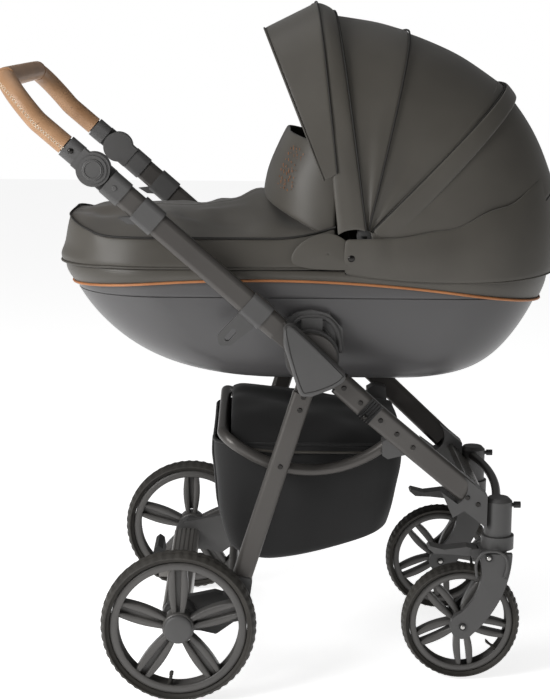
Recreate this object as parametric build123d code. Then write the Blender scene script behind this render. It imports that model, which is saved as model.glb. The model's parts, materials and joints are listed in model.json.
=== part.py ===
from build123d import *
import os
from math import atan2, cos, degrees, hypot, radians, sin

# Baby stroller with a carrycot, in millimetres. +X is the way it rolls, +Z is up, and the right side
# is -Y. Every piece is drawn from the rear axle (X = 0) and is moved back by CENTRE_X when it is
# written, so that the origin is on the floor under the middle of the whole stroller.
CENTRE_X = 164

# Wheels
REAR_RADIUS = 127.3
REAR_WIDTH = 44
REAR_TRACK_Y = 288
REAR_SEAT = 111
REAR_OPENING = 98
FRONT_RADIUS = 100.6
FRONT_WIDTH = 40
FRONT_SEAT = 87
FRONT_OPENING = 76
FRONT_X = 472.2
CASTOR_X = 530.5
CASTOR_Y = 178
SPOKES = 5

# Side frame, in X and Z at the side of the stroller
HUB = (213, 563)
TILT = (-134.3, 863.8)
LEG_SLOPE = -41.8
TUBE_Y = 246
TUBE_TALL = 39
TUBE_WIDE = 22
LEG_TALL = 38
REAR_LEG_TOP = (199.5, 507)
REAR_LEG_FOOT = (98.5, 185)
REAR_LEG_TALL = 33
REAR_LEG_WIDE = 20
LEG_START = 60
LEG_KNEE = 135
LEG_END = 352
LEG_END_Y = 188
TUBE_START = 72
HUB_DISC = 40

# Layers of the folding hub, as distances from the middle of the stroller
PLATE_LAYER = (221, 235)
REAR_LAYER = (235.5, 245.5)
UPPER_LAYER = (246.5, 256.5)
COVER_LAYER = (257, 287)
PIN_RADIUS = 8
RUNNING = 0.05

# Pins of the hood, the forks and the front wheels
PIVOT_PIN = 4

# Handlebar
GRIP_BEND = (-222, 938)
GRIP_CORNER = (-277, 1003)
HANDLE_RADIUS = 13
GRIP_RADIUS = 16.5
ARM_START = 32
GRIP_START = 58

# Rear axle
AXLE_RADIUS = 6
SUSPENSION = (92, 140)
CROSSBAR_RADIUS = 8
CROSSBAR = (87.5, 188.5)

# Castors
CASTOR_PIVOT = (512.6, 220.8)
STEM_RADIUS = 8
FORK_INNER = 24
FORK_OUTER = 36
LEVER_PIN = (492, 222)

# Basket
HOOP_ARC = 197
HOOP_RADIUS = 9.5
HOOP_Y = 198
BAG_Y = 184
BAG_CLOTH = 3

# Carrycot: height, rear end, front end, half width and corner radius of each level
SHELL_LEVELS = [
    (500, 130, 420, 85, 75),
    (506, 62, 462, 118, 104),
    (522, -22, 510, 150, 130),
    (556, -90, 548, 172, 140),
    (604, -144, 580, 188, 145),
    (652, -178, 602, 196, 145),
]
BAND_LEVELS = [(652, -181, 605, 198, 145), (700, -200, 616, 201, 145)]
SHELL_WALL = 4

# Hood: the bows turn about one axis across the carrycot
APEX = (300, 755)
HOOD_CORNER = 115
HOOD_START = 18
REAR_PANEL = (12, 44, 200, 329, 1.6)
MIDDLE_PANEL = (42, 73, 203.5, 333, 2)
FRONT_PANEL = (70, 101, 208, 365, 2.5)
VISOR_PANEL = (96, 120, 211.5, 371, 2)


def side_plane(y):
    """Plane at y that is drawn in X and Z."""
    return Plane(origin=(0, y, 0), x_dir=(1, 0, 0), z_dir=(0, -1, 0))


def slab(outline, inner, outer):
    """Right-hand piece of an X-Z outline, between two distances from the middle."""
    return extrude(side_plane(-inner) * outline, amount=outer - inner)


def across(outline, half_width):
    """Piece of an X-Z outline that reaches both ways from the middle."""
    return extrude(side_plane(half_width) * outline, amount=2 * half_width)


def disc(centre, radius, inner, outer):
    """Right-hand cylinder across the stroller."""
    return slab(Pos(*centre) * Circle(radius), inner, outer)


def outline(*points):
    """Flat face with straight edges."""
    return make_face(Polyline(*points, close=True))


def left(right_piece):
    """The same piece on the other side."""
    return mirror(right_piece, about=Plane.XZ)


def pair(right_piece):
    """Both sides as separate solids."""
    return Compound(children=[*right_piece.solids(), *left(right_piece).solids()])


def bar(start, end, tall, wide, corner):
    """Straight bar of rounded rectangular section, upright between start and end."""
    start = Vector(*start)
    along = Vector(*end) - start
    upright = along.cross(Vector(0, 1, 0))
    section = Plane(origin=start, x_dir=upright.cross(along), z_dir=along)
    return extrude(section * RectangleRounded(wide, tall, corner), amount=along.length)


def along(origin, angle, distance, offset=0):
    """Point at a distance from origin in the X-Z plane, and an offset to the upper side."""
    x = origin[0] + distance * cos(radians(angle)) - offset * sin(radians(angle))
    z = origin[1] + distance * sin(radians(angle)) + offset * cos(radians(angle))
    return (x, z)


def at_side(point, y):
    """X-Z point as a place in space on the right-hand side."""
    return (point[0], -y, point[1])


def rivet(place, facing):
    """Domed rivet head that lies on a face."""
    head = Plane(origin=place, z_dir=facing) * Cylinder(4.2, 1.8, align=(Align.CENTER, Align.CENTER, Align.MIN))
    crown = head.faces().sort_by_distance(Vector(*place) + Vector(*facing) * 9)[0]
    return fillet(crown.edges(), 1.4)


UPPER_SLOPE = degrees(atan2(TILT[1] - HUB[1], TILT[0] - HUB[0]))
UPPER_LENGTH = hypot(TILT[0] - HUB[0], TILT[1] - HUB[1])
REAR_SLOPE = degrees(atan2(REAR_LEG_FOOT[1] - REAR_LEG_TOP[1], REAR_LEG_FOOT[0] - REAR_LEG_TOP[0]))
GRIP_SLOPE = degrees(atan2(GRIP_BEND[1] - TILT[1], GRIP_BEND[0] - TILT[0]))


# ---------------------------------------------------------------- chassis

def front_leg_y(distance):
    """Distance of the front leg's centre line from the middle of the stroller."""
    if distance < LEG_KNEE:
        return TUBE_Y
    share = (distance - LEG_KNEE) / (LEG_END - LEG_KNEE)
    return TUBE_Y + share * (LEG_END_Y - TUBE_Y)


def yoke_outline():
    seam = ThreePointArc((459.2, 309.8), (475.2, 332.3), (467.7, 358))
    rest = Polyline((467.7, 358), (509, 324), (509, 268), (471, 298), (452, 286), (432, 330), (459.2, 309.8))
    return make_face(Curve() + [seam, rest])


def front_leg():
    upper = bar(
        at_side(along(HUB, LEG_SLOPE, LEG_START), TUBE_Y),
        at_side(along(HUB, LEG_SLOPE, LEG_KNEE + 1), TUBE_Y),
        LEG_TALL, TUBE_WIDE, 8,
    )
    lower = bar(
        at_side(along(HUB, LEG_SLOPE, LEG_KNEE - 1), TUBE_Y),
        at_side(along(HUB, LEG_SLOPE, LEG_END), LEG_END_Y),
        LEG_TALL, TUBE_WIDE, 8,
    )
    tongue = bar(
        at_side(along(HUB, LEG_SLOPE, HUB_DISC + 4), TUBE_Y),
        at_side(along(HUB, LEG_SLOPE, LEG_START + 2), TUBE_Y),
        24, TUBE_WIDE, 2,
    )
    return upper + lower + tongue - slab(yoke_outline(), 150, 230)


def front_yoke():
    arm = slab(yoke_outline(), 162, 202)
    housing = Pos(CASTOR_X, -CASTOR_Y, 252) * Cylinder(23, 58, align=(Align.CENTER, Align.CENTER, Align.MIN))
    cap = Pos(CASTOR_X, -CASTOR_Y, 310) * Cone(23, 17, 6, align=(Align.CENTER, Align.CENTER, Align.MIN))
    stem_hole = Pos(CASTOR_X, -CASTOR_Y, 251) * Cylinder(
        STEM_RADIUS + RUNNING, 55, align=(Align.CENTER, Align.CENTER, Align.MIN)
    )
    pin_hole = Pos(CASTOR_X + 8, -CASTOR_Y, 303) * Rot(0, 90, 0) * Cylinder(
        3.5 + RUNNING, 30, align=(Align.CENTER, Align.CENTER, Align.MIN)
    )
    return arm + housing + cap - stem_hole - pin_hole


def release_pin():
    """Spring pin that lets the castor drop out of its housing."""
    shank = Pos(CASTOR_X + 9, -CASTOR_Y, 303) * Rot(0, 90, 0) * Cylinder(
        3.5, 20, align=(Align.CENTER, Align.CENTER, Align.MIN)
    )
    knob = Pos(CASTOR_X + 26, -CASTOR_Y, 303) * Rot(0, 90, 0) * Cylinder(
        5.5, 11, align=(Align.CENTER, Align.CENTER, Align.MIN)
    )
    return shank + knob


def front_crossbar():
    """Round tube that bows forward between the castor housings."""
    line = ThreePointArc((528, -160, 301), (543, 0, 304), (528, 160, 301))
    tube = sweep(Plane(origin=line @ 0, z_dir=line % 0) * Circle(7.5), path=line)
    return tube - front_yoke() - left(front_yoke())


def front_step_bar():
    """Flat ribbed bar between the yokes."""
    step = Box(46, 324, 9) - [Pos(x, 0, 4.5) * Box(3, 330, 3) for x in (-15, -9, -3, 3, 9, 15)]
    place = Pos(501, 0, 304) * Rot(0, 45, 0)
    return place * step - front_yoke() - left(front_yoke())


def hub_plate():
    arm = bar(
        at_side(HUB, sum(PLATE_LAYER) / 2),
        at_side(along(HUB, LEG_SLOPE, LEG_KNEE - 8), sum(PLATE_LAYER) / 2),
        34, PLATE_LAYER[1] - PLATE_LAYER[0], 1,
    )
    plate = disc(HUB, 44, *PLATE_LAYER) + arm
    block = slab(Pos(213, 572) * Rectangle(54, 50), 211, PLATE_LAYER[0])
    pocket = slab(Pos(213, 585) * Rectangle(34.6, 50.6), 208, 218.8)
    return plate + block - pocket - disc(HUB, PIN_RADIUS + RUNNING, PLATE_LAYER[0] + 2, 300)


def hub_cover():
    """Three-cornered cover with rounded corners and a shallow inset panel."""
    shape = outline((166, 637), (166, 592), (193, 508), (212, 508), (243, 520), (272, 539))
    body = slab(fillet(shape.vertices(), 11), *COVER_LAYER)
    outer = body.faces().sort_by(Axis.Y)[0]
    body = fillet(outer.edges(), 5)
    return body - disc(HUB, PIN_RADIUS + RUNNING, COVER_LAYER[0] - 1, COVER_LAYER[0] + 12)


def chassis_fasteners():
    """Hub pins, and the rivets of the front legs and yokes."""
    pieces = [disc(HUB, PIN_RADIUS, PLATE_LAYER[0] + 3, COVER_LAYER[0] + 11)]
    turn = degrees(atan2(TUBE_Y - LEG_END_Y, LEG_END - LEG_KNEE))
    facing_taper = Vector(
        sin(radians(turn)) * cos(radians(LEG_SLOPE)), -cos(radians(turn)), sin(radians(turn)) * sin(radians(LEG_SLOPE))
    )
    for distance in (69, 105, 147, 184, 221):
        x, z = along(HUB, LEG_SLOPE, distance)
        centre = Vector(x, -front_leg_y(distance), z)
        facing = Vector(0, -1, 0) if distance < LEG_KNEE else facing_taper
        pieces.append(rivet(centre + facing * (TUBE_WIDE / 2), facing))
    for place in ((475.5, 321), (493.3, 309.5)):
        pieces.append(rivet(at_side(place, 202), (0, -1, 0)))
    return Compound(children=[solid for piece in pieces for side in (piece, left(piece)) for solid in side.solids()])


# ---------------------------------------------------------------- basket

def hoop_wire():
    """Side arcs about the hub's axis, joined behind the bag."""
    def on_arc(angle):
        return at_side(along(HUB, angle, HOOP_ARC), HOOP_Y)

    side = ThreePointArc(on_arc(-50), on_arc(-86), on_arc(-122))
    end = Vector(*on_arc(-122))
    heading = Vector(*at_side(along((0, 0), -212, 1), 0))
    corner = end + heading * 47
    back = FilletPolyline(end, corner, Vector(corner.X, -corner.Y, corner.Z), Vector(end.X, -end.Y, end.Z), radius=38)
    other = ThreePointArc(
        *[Vector(p[0], -p[1], p[2]) for p in (on_arc(-122), on_arc(-86), on_arc(-50))]
    )
    return Wire([side, *back.edges(), other])


def basket_hoop():
    wire = hoop_wire()
    return sweep(Plane(origin=wire @ 0, z_dir=wire % 0) * Circle(HOOP_RADIUS), path=wire)


def hoop_sleeve():
    shape = outline((331, 397), (340, 391), (368, 398), (366, 424), (345, 429), (331, 420))
    return slab(shape, HOOP_Y - 11, 222) - basket_hoop() - front_leg()


BAG_OUTLINE = [
    (88, 405), (88, 394), (64, 380), (50, 345), (52, 300), (66, 232), (98, 203), (132, 196),
    (216, 199), (284, 217), (352, 249), (366, 300), (372, 384), (372, 405),
]


def basket_bag():
    """Open bag between the hoop's arms."""
    skin = across(outline(*BAG_OUTLINE), BAG_Y)
    hollow = offset(outline(*BAG_OUTLINE), amount=-BAG_CLOTH)
    rear = BAG_OUTLINE[0][0] + BAG_CLOTH
    front = BAG_OUTLINE[-1][0] - BAG_CLOTH
    mouth = outline((rear, 396), (front, 396), (front, 412), (rear, 412))
    return skin - across(hollow + mouth, BAG_Y - BAG_CLOTH)


def basket_lid():
    """Soft lid over the bag and the two straps that hold it to the front legs."""
    outer = [(90, 406), (90, 434), (80, 443), (82, 455), (94, 459), (150, 451), (264, 434), (362, 423), (372, 412)]
    inner = [(94, 400), (94, 436), (84, 445), (86, 451), (96, 455), (150, 447), (263, 430), (360, 419), (367, 410)]
    dome = across(outline(*outer, (372, 406)), BAG_Y)
    low = across(outline(*inner, (367, 400)), BAG_Y - 4)
    strap = bar(
        at_side(along(HUB, LEG_SLOPE, 126, -19), 258.3),
        at_side(along(HUB, LEG_SLOPE, 126, 19), 258.3),
        24, 2, 0.6,
    )
    return Compound(children=[*(dome - low).solids(), *strap.solids(), *left(strap).solids()])


# ---------------------------------------------------------------- folding upper frame

def upper_point(distance, offset=0):
    """Point on the upper tube, by its distance down from the tilt joint."""
    return along(HUB, UPPER_SLOPE, UPPER_LENGTH - distance, -offset)


def handle_tube():
    tube = bar(
        at_side(along(HUB, UPPER_SLOPE, TUBE_START), TUBE_Y),
        at_side(upper_point(34), TUBE_Y),
        TUBE_TALL, TUBE_WIDE, 9,
    )
    middle = sum(UPPER_LAYER) / 2
    plate = bar(
        at_side(HUB, middle),
        at_side(along(HUB, UPPER_SLOPE, TUBE_START + 2), middle),
        34, UPPER_LAYER[1] - UPPER_LAYER[0], 1,
    )
    return tube + plate + disc(HUB, HUB_DISC, *UPPER_LAYER) - disc(HUB, PIN_RADIUS + RUNNING, 200, 300)


def tilt_sleeve():
    """Lower half of the handle's tilt joint, with the pivot that the arm turns on."""
    sleeve = bar(at_side(upper_point(29), TUBE_Y), at_side(upper_point(63), TUBE_Y), 43, 28, 10)
    cheek = bar(at_side(TILT, 238), at_side(upper_point(31), 238), 42, 15.6, 2)
    ring = disc(TILT, 27, 230.2, 245.8)
    pivot = disc(TILT, 6, 240, 254.9)
    tube = bar(at_side(upper_point(80), TUBE_Y), at_side(upper_point(34), TUBE_Y), TUBE_TALL, TUBE_WIDE, 9)
    return sleeve + cheek + ring + pivot - tube


def tilt_sleeves():
    """Both sleeves with their rivets."""
    screw = rivet(at_side(upper_point(44), 260), (0, -1, 0))
    pieces = [tilt_sleeve(), screw]
    return Compound(children=[s for p in pieces for side in (p, left(p)) for s in side.solids()])


def hook_collar():
    """Fixed collar with a slotted tab under the tube."""
    ring = bar(at_side(upper_point(321), TUBE_Y), at_side(upper_point(360), TUBE_Y), 44, 27, 9)
    tab = outline(upper_point(322, -19), upper_point(356, -19), upper_point(347, -70), upper_point(333, -82),
                  upper_point(320, -72))
    tab = slab(fillet(tab.vertices(), 6), 241, 251)
    slot_place = Location((upper_point(335, -57)[0], upper_point(335, -57)[1], 0), (0, 0, UPPER_SLOPE + 90))
    slot = slab(slot_place * SlotOverall(24, 9), 230, 262)
    tube = bar(at_side(upper_point(310), TUBE_Y), at_side(upper_point(370), TUBE_Y), TUBE_TALL, TUBE_WIDE, 9)
    return ring + tab - slot - tube


def fold_latch():
    """Sliding catch with a hooked finger under the tube."""
    ring = bar(at_side(upper_point(92), TUBE_Y), at_side(upper_point(132), TUBE_Y), 45, 28, 9)
    finger = outline(upper_point(92, -18), upper_point(112, -18), upper_point(96, -30), upper_point(78, -33))
    finger = slab(finger, 240, 252)
    tube = bar(
        at_side(upper_point(60), TUBE_Y), at_side(upper_point(150), TUBE_Y),
        TUBE_TALL + 0.2, TUBE_WIDE + 0.2, 9,
    )
    return ring + finger - tube


# ---------------------------------------------------------------- handlebar

def handle_path(start):
    first = at_side(along(TILT, GRIP_SLOPE, start), TUBE_Y)
    points = [first, at_side(GRIP_BEND, TUBE_Y), at_side(GRIP_CORNER, TUBE_Y)]
    points += [(x, -y, z) for x, y, z in reversed(points)]
    return FilletPolyline(*points, radius=[90, 75, 75, 90])


def swept_ring(path, outer, inner=0):
    section = Plane(origin=path @ 0, z_dir=path % 0)
    profile = Circle(outer) - Circle(inner) if inner else Circle(outer)
    return sweep(section * profile, path=path)


def tilt_arm():
    """Upper half of the tilt joint, which holds the end of the handlebar."""
    body = bar(
        at_side(along(TILT, GRIP_SLOPE, 29), TUBE_Y), at_side(along(TILT, GRIP_SLOPE, 56), TUBE_Y), 36, 30, 11,
    )
    cheek = bar(at_side(TILT, 254.2), at_side(along(TILT, GRIP_SLOPE, 31), 254.2), 36, 15.6, 2)
    ring = disc(TILT, 27, 246.2, 262) + disc(TILT, 22, 262, 264.5)
    well = disc(TILT, 17 + RUNNING, 255, 270)
    holder = bar(
        at_side(along(TILT, GRIP_SLOPE, ARM_START), TUBE_Y), at_side(along(TILT, GRIP_SLOPE, 60), TUBE_Y),
        2 * HANDLE_RADIUS, 2 * HANDLE_RADIUS, HANDLE_RADIUS - 0.01,
    )
    return body + cheek + ring - well - disc(TILT, 6 + RUNNING, 240, 260) - holder


def tilt_button():
    body = disc(TILT, 17, 258.3, 266.5)
    face = body.faces().sort_by(Axis.Y)[0]
    return fillet(face.edges(), 1.5)


# ---------------------------------------------------------------- rear frame

def rear_point(distance, offset=0):
    """Point on the rear leg, by its distance from the top of the leg."""
    return along(REAR_LEG_TOP, REAR_SLOPE, distance, offset)


def rear_leg():
    middle = sum(REAR_LAYER) / 2
    leg = bar(
        at_side(rear_point(-12), TUBE_Y), at_side(REAR_LEG_FOOT, TUBE_Y), REAR_LEG_TALL, REAR_LEG_WIDE, 8,
    )
    leg -= disc(HUB, LEG_START, 200, 300)
    plate = bar(
        at_side(HUB, middle), at_side(rear_point(8), middle), 28, REAR_LAYER[1] - REAR_LAYER[0], 1,
    )
    return leg + plate + disc(HUB, HUB_DISC, *REAR_LAYER) - disc(HUB, PIN_RADIUS + RUNNING, 200, 300)


def rear_crossbar():
    return across(Pos(*CROSSBAR) * Circle(CROSSBAR_RADIUS), TUBE_Y - REAR_LEG_WIDE / 2)


def rear_bracket():
    """Foot of the leg, with the pin that the axle arm turns on."""
    shape = outline((72, 206), (120, 196), (114, 150), (105, 126), (84, 122), (72, 140))
    shoe = slab(fillet(shape.vertices(), 5), 234, 259)
    leg = bar(at_side(rear_point(200), TUBE_Y), at_side(REAR_LEG_FOOT, TUBE_Y), REAR_LEG_TALL, REAR_LEG_WIDE, 8)
    return shoe - leg + disc(SUSPENSION, 5, 212, 236) - rear_crossbar()


def hoop_clip():
    """Open clip on the leg that slides along the hoop's arc as the legs fold."""
    angle = degrees(atan2(384 - HUB[1], 163 - HUB[0]))
    block = bar(
        at_side(along(HUB, angle, HOOP_ARC - 14), 218), at_side(along(HUB, angle, HOOP_ARC + 14), 218), 18, 36, 3,
    )
    tunnel = revolve(
        Plane(origin=(HUB[0] + HOOP_ARC, -HOOP_Y, HUB[1]), z_dir=(0, 0, 1)) * Circle(HOOP_RADIUS + 0.4),
        axis=Axis((HUB[0], -HOOP_Y, HUB[1]), (0, 1, 0)), revolution_arc=360,
    )
    inner_half = slab(Pos(*along(HUB, angle, HOOP_ARC)) * Rectangle(80, 80), 180, HOOP_Y)
    return block - tunnel - inner_half


def rear_brackets():
    pieces = [rear_bracket(), hoop_clip()]
    return Compound(children=[s for p in pieces for side in (p, left(p)) for s in side.solids()])


def rear_rivets():
    places = [(199.5, 501), (194, 480), (163.5, 386)]
    heads = [rivet(at_side(place, TUBE_Y + REAR_LEG_WIDE / 2), (0, -1, 0)) for place in places]
    return Compound(children=[s for h in heads for side in (h, left(h)) for s in side.solids()])


# ---------------------------------------------------------------- rear axle

AXLE = (0, REAR_RADIUS)


def axle_beam():
    """Ribbed beam between the axle arms, with two ears for the brake pedal."""
    section = Pos(-7, 120) * RectangleRounded(46, 40, 8)
    for x in (-23, -15, -7, 1, 9):
        section -= Pos(x, 140) * Rectangle(3, 4)
    beam = across(section, 216)
    for y in (-20, 14):
        ear = extrude(side_plane(y + 6) * (Pos(-36, 132) * Rectangle(22, 22)), amount=6)
        hole = extrude(side_plane(y + 7) * (Pos(-40, 136) * Circle(3)), amount=8)
        beam = beam + ear - hole
    return beam - across(Pos(*AXLE) * Circle(AXLE_RADIUS), 300)


def axle_arm():
    """Trailing arm with the domed bearing housing beside the wheel."""
    shape = outline((-12, 152), (30, 160), (58, 166), (90, 156), (101, 142), (98, 120), (60, 92), (34, 98), (-12, 100))
    arm = slab(fillet(shape.vertices(), 6), 216, 232)
    dome = disc(AXLE, 29, 232, 254)
    dome = fillet(dome.faces().sort_by(Axis.Y)[0].edges(), 9) + disc(AXLE, 15, 250, 262)
    return arm + dome - disc(AXLE, AXLE_RADIUS, 200, 300) - disc(SUSPENSION, 5 + RUNNING, 200, 240)


def axle_rod():
    return across(Pos(*AXLE) * Circle(AXLE_RADIUS), REAR_TRACK_Y + 14)


def brake_pedal():
    """Pad on a short arm that turns on a pin behind the beam."""
    arm = across(outline((-34, 130), (-46, 130), (-50, 160), (-40, 166), (-33, 140)), 13.8)
    pad = across(outline((-36, 158), (-58, 160), (-54, 178), (-47, 184), (-39, 178)), 36)
    pin = across(Pos(-40, 136) * Circle(3 - RUNNING), 20)
    return arm + fillet(pad.edges().filter_by(Axis.Y), 2) + pin


# ---------------------------------------------------------------- wheels, drawn about the origin

def turned(profile):
    """Ring from a profile whose local x is the radius and local y the place along the axle."""
    return revolve(Plane.XY * profile, axis=Axis.Y, revolution_arc=360)


def tyre(radius, width, seat):
    bead = width * 0.36
    tread = width * 0.3
    middle = (seat + radius) / 2
    profile = make_face(Curve() + [
        ThreePointArc((seat, -bead), (middle, -width / 2), (radius - 4, -tread)),
        ThreePointArc((radius - 4, -tread), (radius, 0), (radius - 4, tread)),
        ThreePointArc((radius - 4, tread), (middle, width / 2), (seat, bead)),
        Line((seat, bead), (seat, -bead)),
    ])
    return turned(profile)


def spoke(opening, hub):
    """Petal of two curved ribs with a slot between them, along +X in the wheel's plane."""
    reach = opening + 6
    middle = (hub + opening) / 2

    def petal(start, end, root, belly, tip):
        return make_face(Curve() + [
            ThreePointArc((start, root), (middle, belly), (end, tip)),
            Line((end, tip), (end, -tip)),
            ThreePointArc((end, -tip), (middle, -belly), (start, -root)),
            Line((start, -root), (start, root)),
        ])

    return petal(hub - 6, reach, 9, 16, 11.5) - petal(hub + 2, opening - 2, 1.2, 5.5, 3.2)


def rim(width, seat, opening, hub, bore, first_angle):
    edge = width * 0.36
    profile = outline(
        (opening, -edge), (opening, 5 - edge), (opening + 5, 9 - edge), (opening + 5, edge - 9), (opening, edge - 5),
        (opening, edge), (seat - 3, edge), (seat, edge - 3), (seat, 3 - edge), (seat - 3, -edge),
    )
    body = turned(profile)
    one = extrude(side_plane(edge - 4) * spoke(opening, hub), amount=2 * edge - 8)
    for turn in range(SPOKES):
        body += Rot(0, -first_angle - turn * 360 / SPOKES, 0) * one
    body += across(Circle(hub), edge + 4)
    return body - across(Circle(bore), width)


def rear_wheel_rim():
    """Rim with the cap that closes its outer side."""
    body = rim(REAR_WIDTH, REAR_SEAT, REAR_OPENING, 26, AXLE_RADIUS + RUNNING, 90)
    cap = disc(AXLE, 22, REAR_TRACK_Y + 19.9, REAR_TRACK_Y + 26)
    cap = fillet(cap.faces().sort_by(Axis.Y)[0].edges(), 3)
    return Compound(children=[*(Pos(0, -REAR_TRACK_Y, REAR_RADIUS) * body).solids(), *cap.solids()])


def rear_wheel_tyre():
    return Pos(0, -REAR_TRACK_Y, REAR_RADIUS) * tyre(REAR_RADIUS, REAR_WIDTH, REAR_SEAT)


def front_wheel_rim():
    body = rim(FRONT_WIDTH, FRONT_SEAT, FRONT_OPENING, 19, PIVOT_PIN + RUNNING, -84)
    return Pos(FRONT_X, -CASTOR_Y, FRONT_RADIUS) * body


def front_wheel_tyre():
    return Pos(FRONT_X, -CASTOR_Y, FRONT_RADIUS) * tyre(FRONT_RADIUS, FRONT_WIDTH, FRONT_SEAT)


# ---------------------------------------------------------------- castors

def castor_body():
    """Swivelling head with its stem, the lug for the fork and the ears for the lever."""
    ring = Pos(CASTOR_X, -CASTOR_Y, 229) * Cylinder(27.5, 22.5, align=(Align.CENTER, Align.CENTER, Align.MIN))
    stem = Pos(CASTOR_X, -CASTOR_Y, 240) * Cylinder(STEM_RADIUS, 65, align=(Align.CENTER, Align.CENTER, Align.MIN))
    lug = slab(outline((500, 212), (531, 209), (534, 231), (500, 231)), CASTOR_Y - 23.5, CASTOR_Y + 23.5)
    pin = disc(CASTOR_PIVOT, PIVOT_PIN, CASTOR_Y - FORK_OUTER - 1, CASTOR_Y + FORK_OUTER + 1)
    body = ring + stem + lug + pin
    for inner in (CASTOR_Y - 20, CASTOR_Y + 15):
        ear = slab(outline((486, 216), (504, 214), (506, 231), (486, 230)), inner, inner + 5)
        body += ear
    return body - disc(LEVER_PIN, 3, CASTOR_Y - 21, CASTOR_Y + 21)


def fork_outline():
    x, z = FRONT_X, FRONT_RADIUS
    return make_face(Curve() + [
        Polyline((499, 214), (499, 227), (552, 227)),
        ThreePointArc((552, 227), (541, 166), (x + 17, z - 13)),
        ThreePointArc((x + 17, z - 13), (x - 2, z - 21.5), (x - 19, z - 8)),
        ThreePointArc((x - 19, z - 8), (x - 20, z + 6), (x - 11, z + 19)),
        ThreePointArc((x - 11, z + 19), (496, 163), (499, 214)),
    ])


def fork():
    """Two curved arms with a bridge in front, and the wheel's axle."""
    outer = slab(fork_outline(), CASTOR_Y + FORK_INNER, CASTOR_Y + FORK_OUTER)
    inner = slab(fork_outline(), CASTOR_Y - FORK_OUTER, CASTOR_Y - FORK_INNER)
    bridge = slab(outline((538, 186), (545, 186), (550, 214), (540, 214)), CASTOR_Y - 25, CASTOR_Y + 25)
    arms = outer + inner + bridge
    arms -= disc(CASTOR_PIVOT, PIVOT_PIN + RUNNING, CASTOR_Y - 40, CASTOR_Y + 40)
    axle = disc((FRONT_X, FRONT_RADIUS), PIVOT_PIN, CASTOR_Y - 38, CASTOR_Y + 38)
    return arms + axle


def lock_lever():
    """Foot lever behind the castor that locks its swivel."""
    paddle = outline((497, 217), (497, 228), (478, 233), (440, 228), (416, 234), (413, 230), (424, 221), (452, 220),
                     (480, 217))
    body = slab(paddle, CASTOR_Y - 14.5, CASTOR_Y + 14.5)
    pin = disc(LEVER_PIN, 3 - RUNNING, CASTOR_Y - 20, CASTOR_Y + 20)
    return body + pin


# ---------------------------------------------------------------- carrycot

def rounded_level(level, inset=0):
    height, rear, front, half, corner = level
    length = front - rear - 2 * inset
    centre = Location(((rear + front) / 2, 0, height))
    return centre * RectangleRounded(length, 2 * (half - inset), corner - inset)


def lofted(levels, inset=0):
    return loft(Sketch() + [rounded_level(level, inset) for level in levels])


def cot_shell():
    """Open moulded tub."""
    floor = (508, 70, 455, 110, 96)
    hollow = lofted([floor, *SHELL_LEVELS[2:]], SHELL_WALL)
    return lofted(SHELL_LEVELS) - hollow


def cot_band():
    """Fabric band around the tub's rim."""
    return lofted(BAND_LEVELS) - lofted(BAND_LEVELS, SHELL_WALL)


def cot_adapter():
    """Arched plate on the tub's side, with the tongue that drops into the hub's pocket."""
    arch = outline((166, 566), (166, 618), (190, 632), (213, 636), (240, 630), (263, 606), (266, 566))
    plate = slab(fillet(arch.vertices(), 8), 201, 210)
    pad = slab(Pos(213, 612) * Rectangle(60, 36), 185, 202)
    tongue = slab(Pos(213, 592) * Rectangle(34, 64), 209, 218.5)
    return plate + pad + tongue - lofted(SHELL_LEVELS)


def mattress():
    return extrude(rounded_level((526, -16, 504, 144, 124)), amount=32)


def boot_solid(inset):
    """Crowned cover shape, smaller all round by the inset."""
    half = 203 - inset
    crown = 788 - inset
    plan = Pos((-203 + 420) / 2 + inset / 2, 0) * RectangleRounded(623 - inset, 2 * half, 145 - inset)
    body = extrude(Plane.XY.offset(700.5 - inset) * plan, amount=120)
    section = make_face(Curve() + [
        Polyline((-half, crown - 50), (-half, 690 - inset), (half, 690 - inset), (half, crown - 50)),
        ThreePointArc((half, crown - 50), (0, crown), (-half, crown - 50)),
    ])
    arch = extrude(Plane(origin=(-260, 0, 0), x_dir=(0, 1, 0), z_dir=(1, 0, 0)) * section, amount=460 + inset)
    nose = across(outline(
        (-203 + inset, 690), (-203 + inset, 738 - inset), (-198 + inset, 755 - inset), (-186, 769 - inset),
        (-147, 782 - inset), (-80, 789), (230, 795), (230, 690),
    ), 220)
    return body & arch & nose


def boot_cover():
    return boot_solid(0) - boot_solid(5)


def wind_flap():
    """Upright flap at the head end of the boot cover."""
    blade = across(outline((126, 740), (134, 812), (176, 915), (181, 913), (140, 810), (132, 740)), 165)
    return blade - boot_solid(0)


def arch_profile(half, reach, wall):
    outer = RectangleRounded(2 * half, 2 * reach, HOOD_CORNER)
    inner = RectangleRounded(2 * (half - wall), 2 * (reach - wall), HOOD_CORNER - wall)
    keep = Pos(0, (HOOD_START + 400) / 2) * Rectangle(500, 400 - HOOD_START)
    return (outer - inner) & keep


def hood_panel(low, high, half, reach, wall):
    """Part of the hood between two bow angles, with an eye at each end for the pivot pins."""
    c, s = cos(radians(high)), sin(radians(high))
    plane = Plane(origin=(APEX[0], 0, APEX[1]), x_dir=(0, 1, 0), z_dir=(s, 0, -c))
    axis = Axis((APEX[0], 0, APEX[1]), (0, 1, 0))
    skin = revolve(plane * arch_profile(half, reach, wall), axis=axis, revolution_arc=high - low)
    eye = disc(APEX, HOOD_START + 2, half - wall, half) - disc(APEX, PIVOT_PIN + RUNNING, 150, 250)
    return skin + eye + left(eye)


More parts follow.
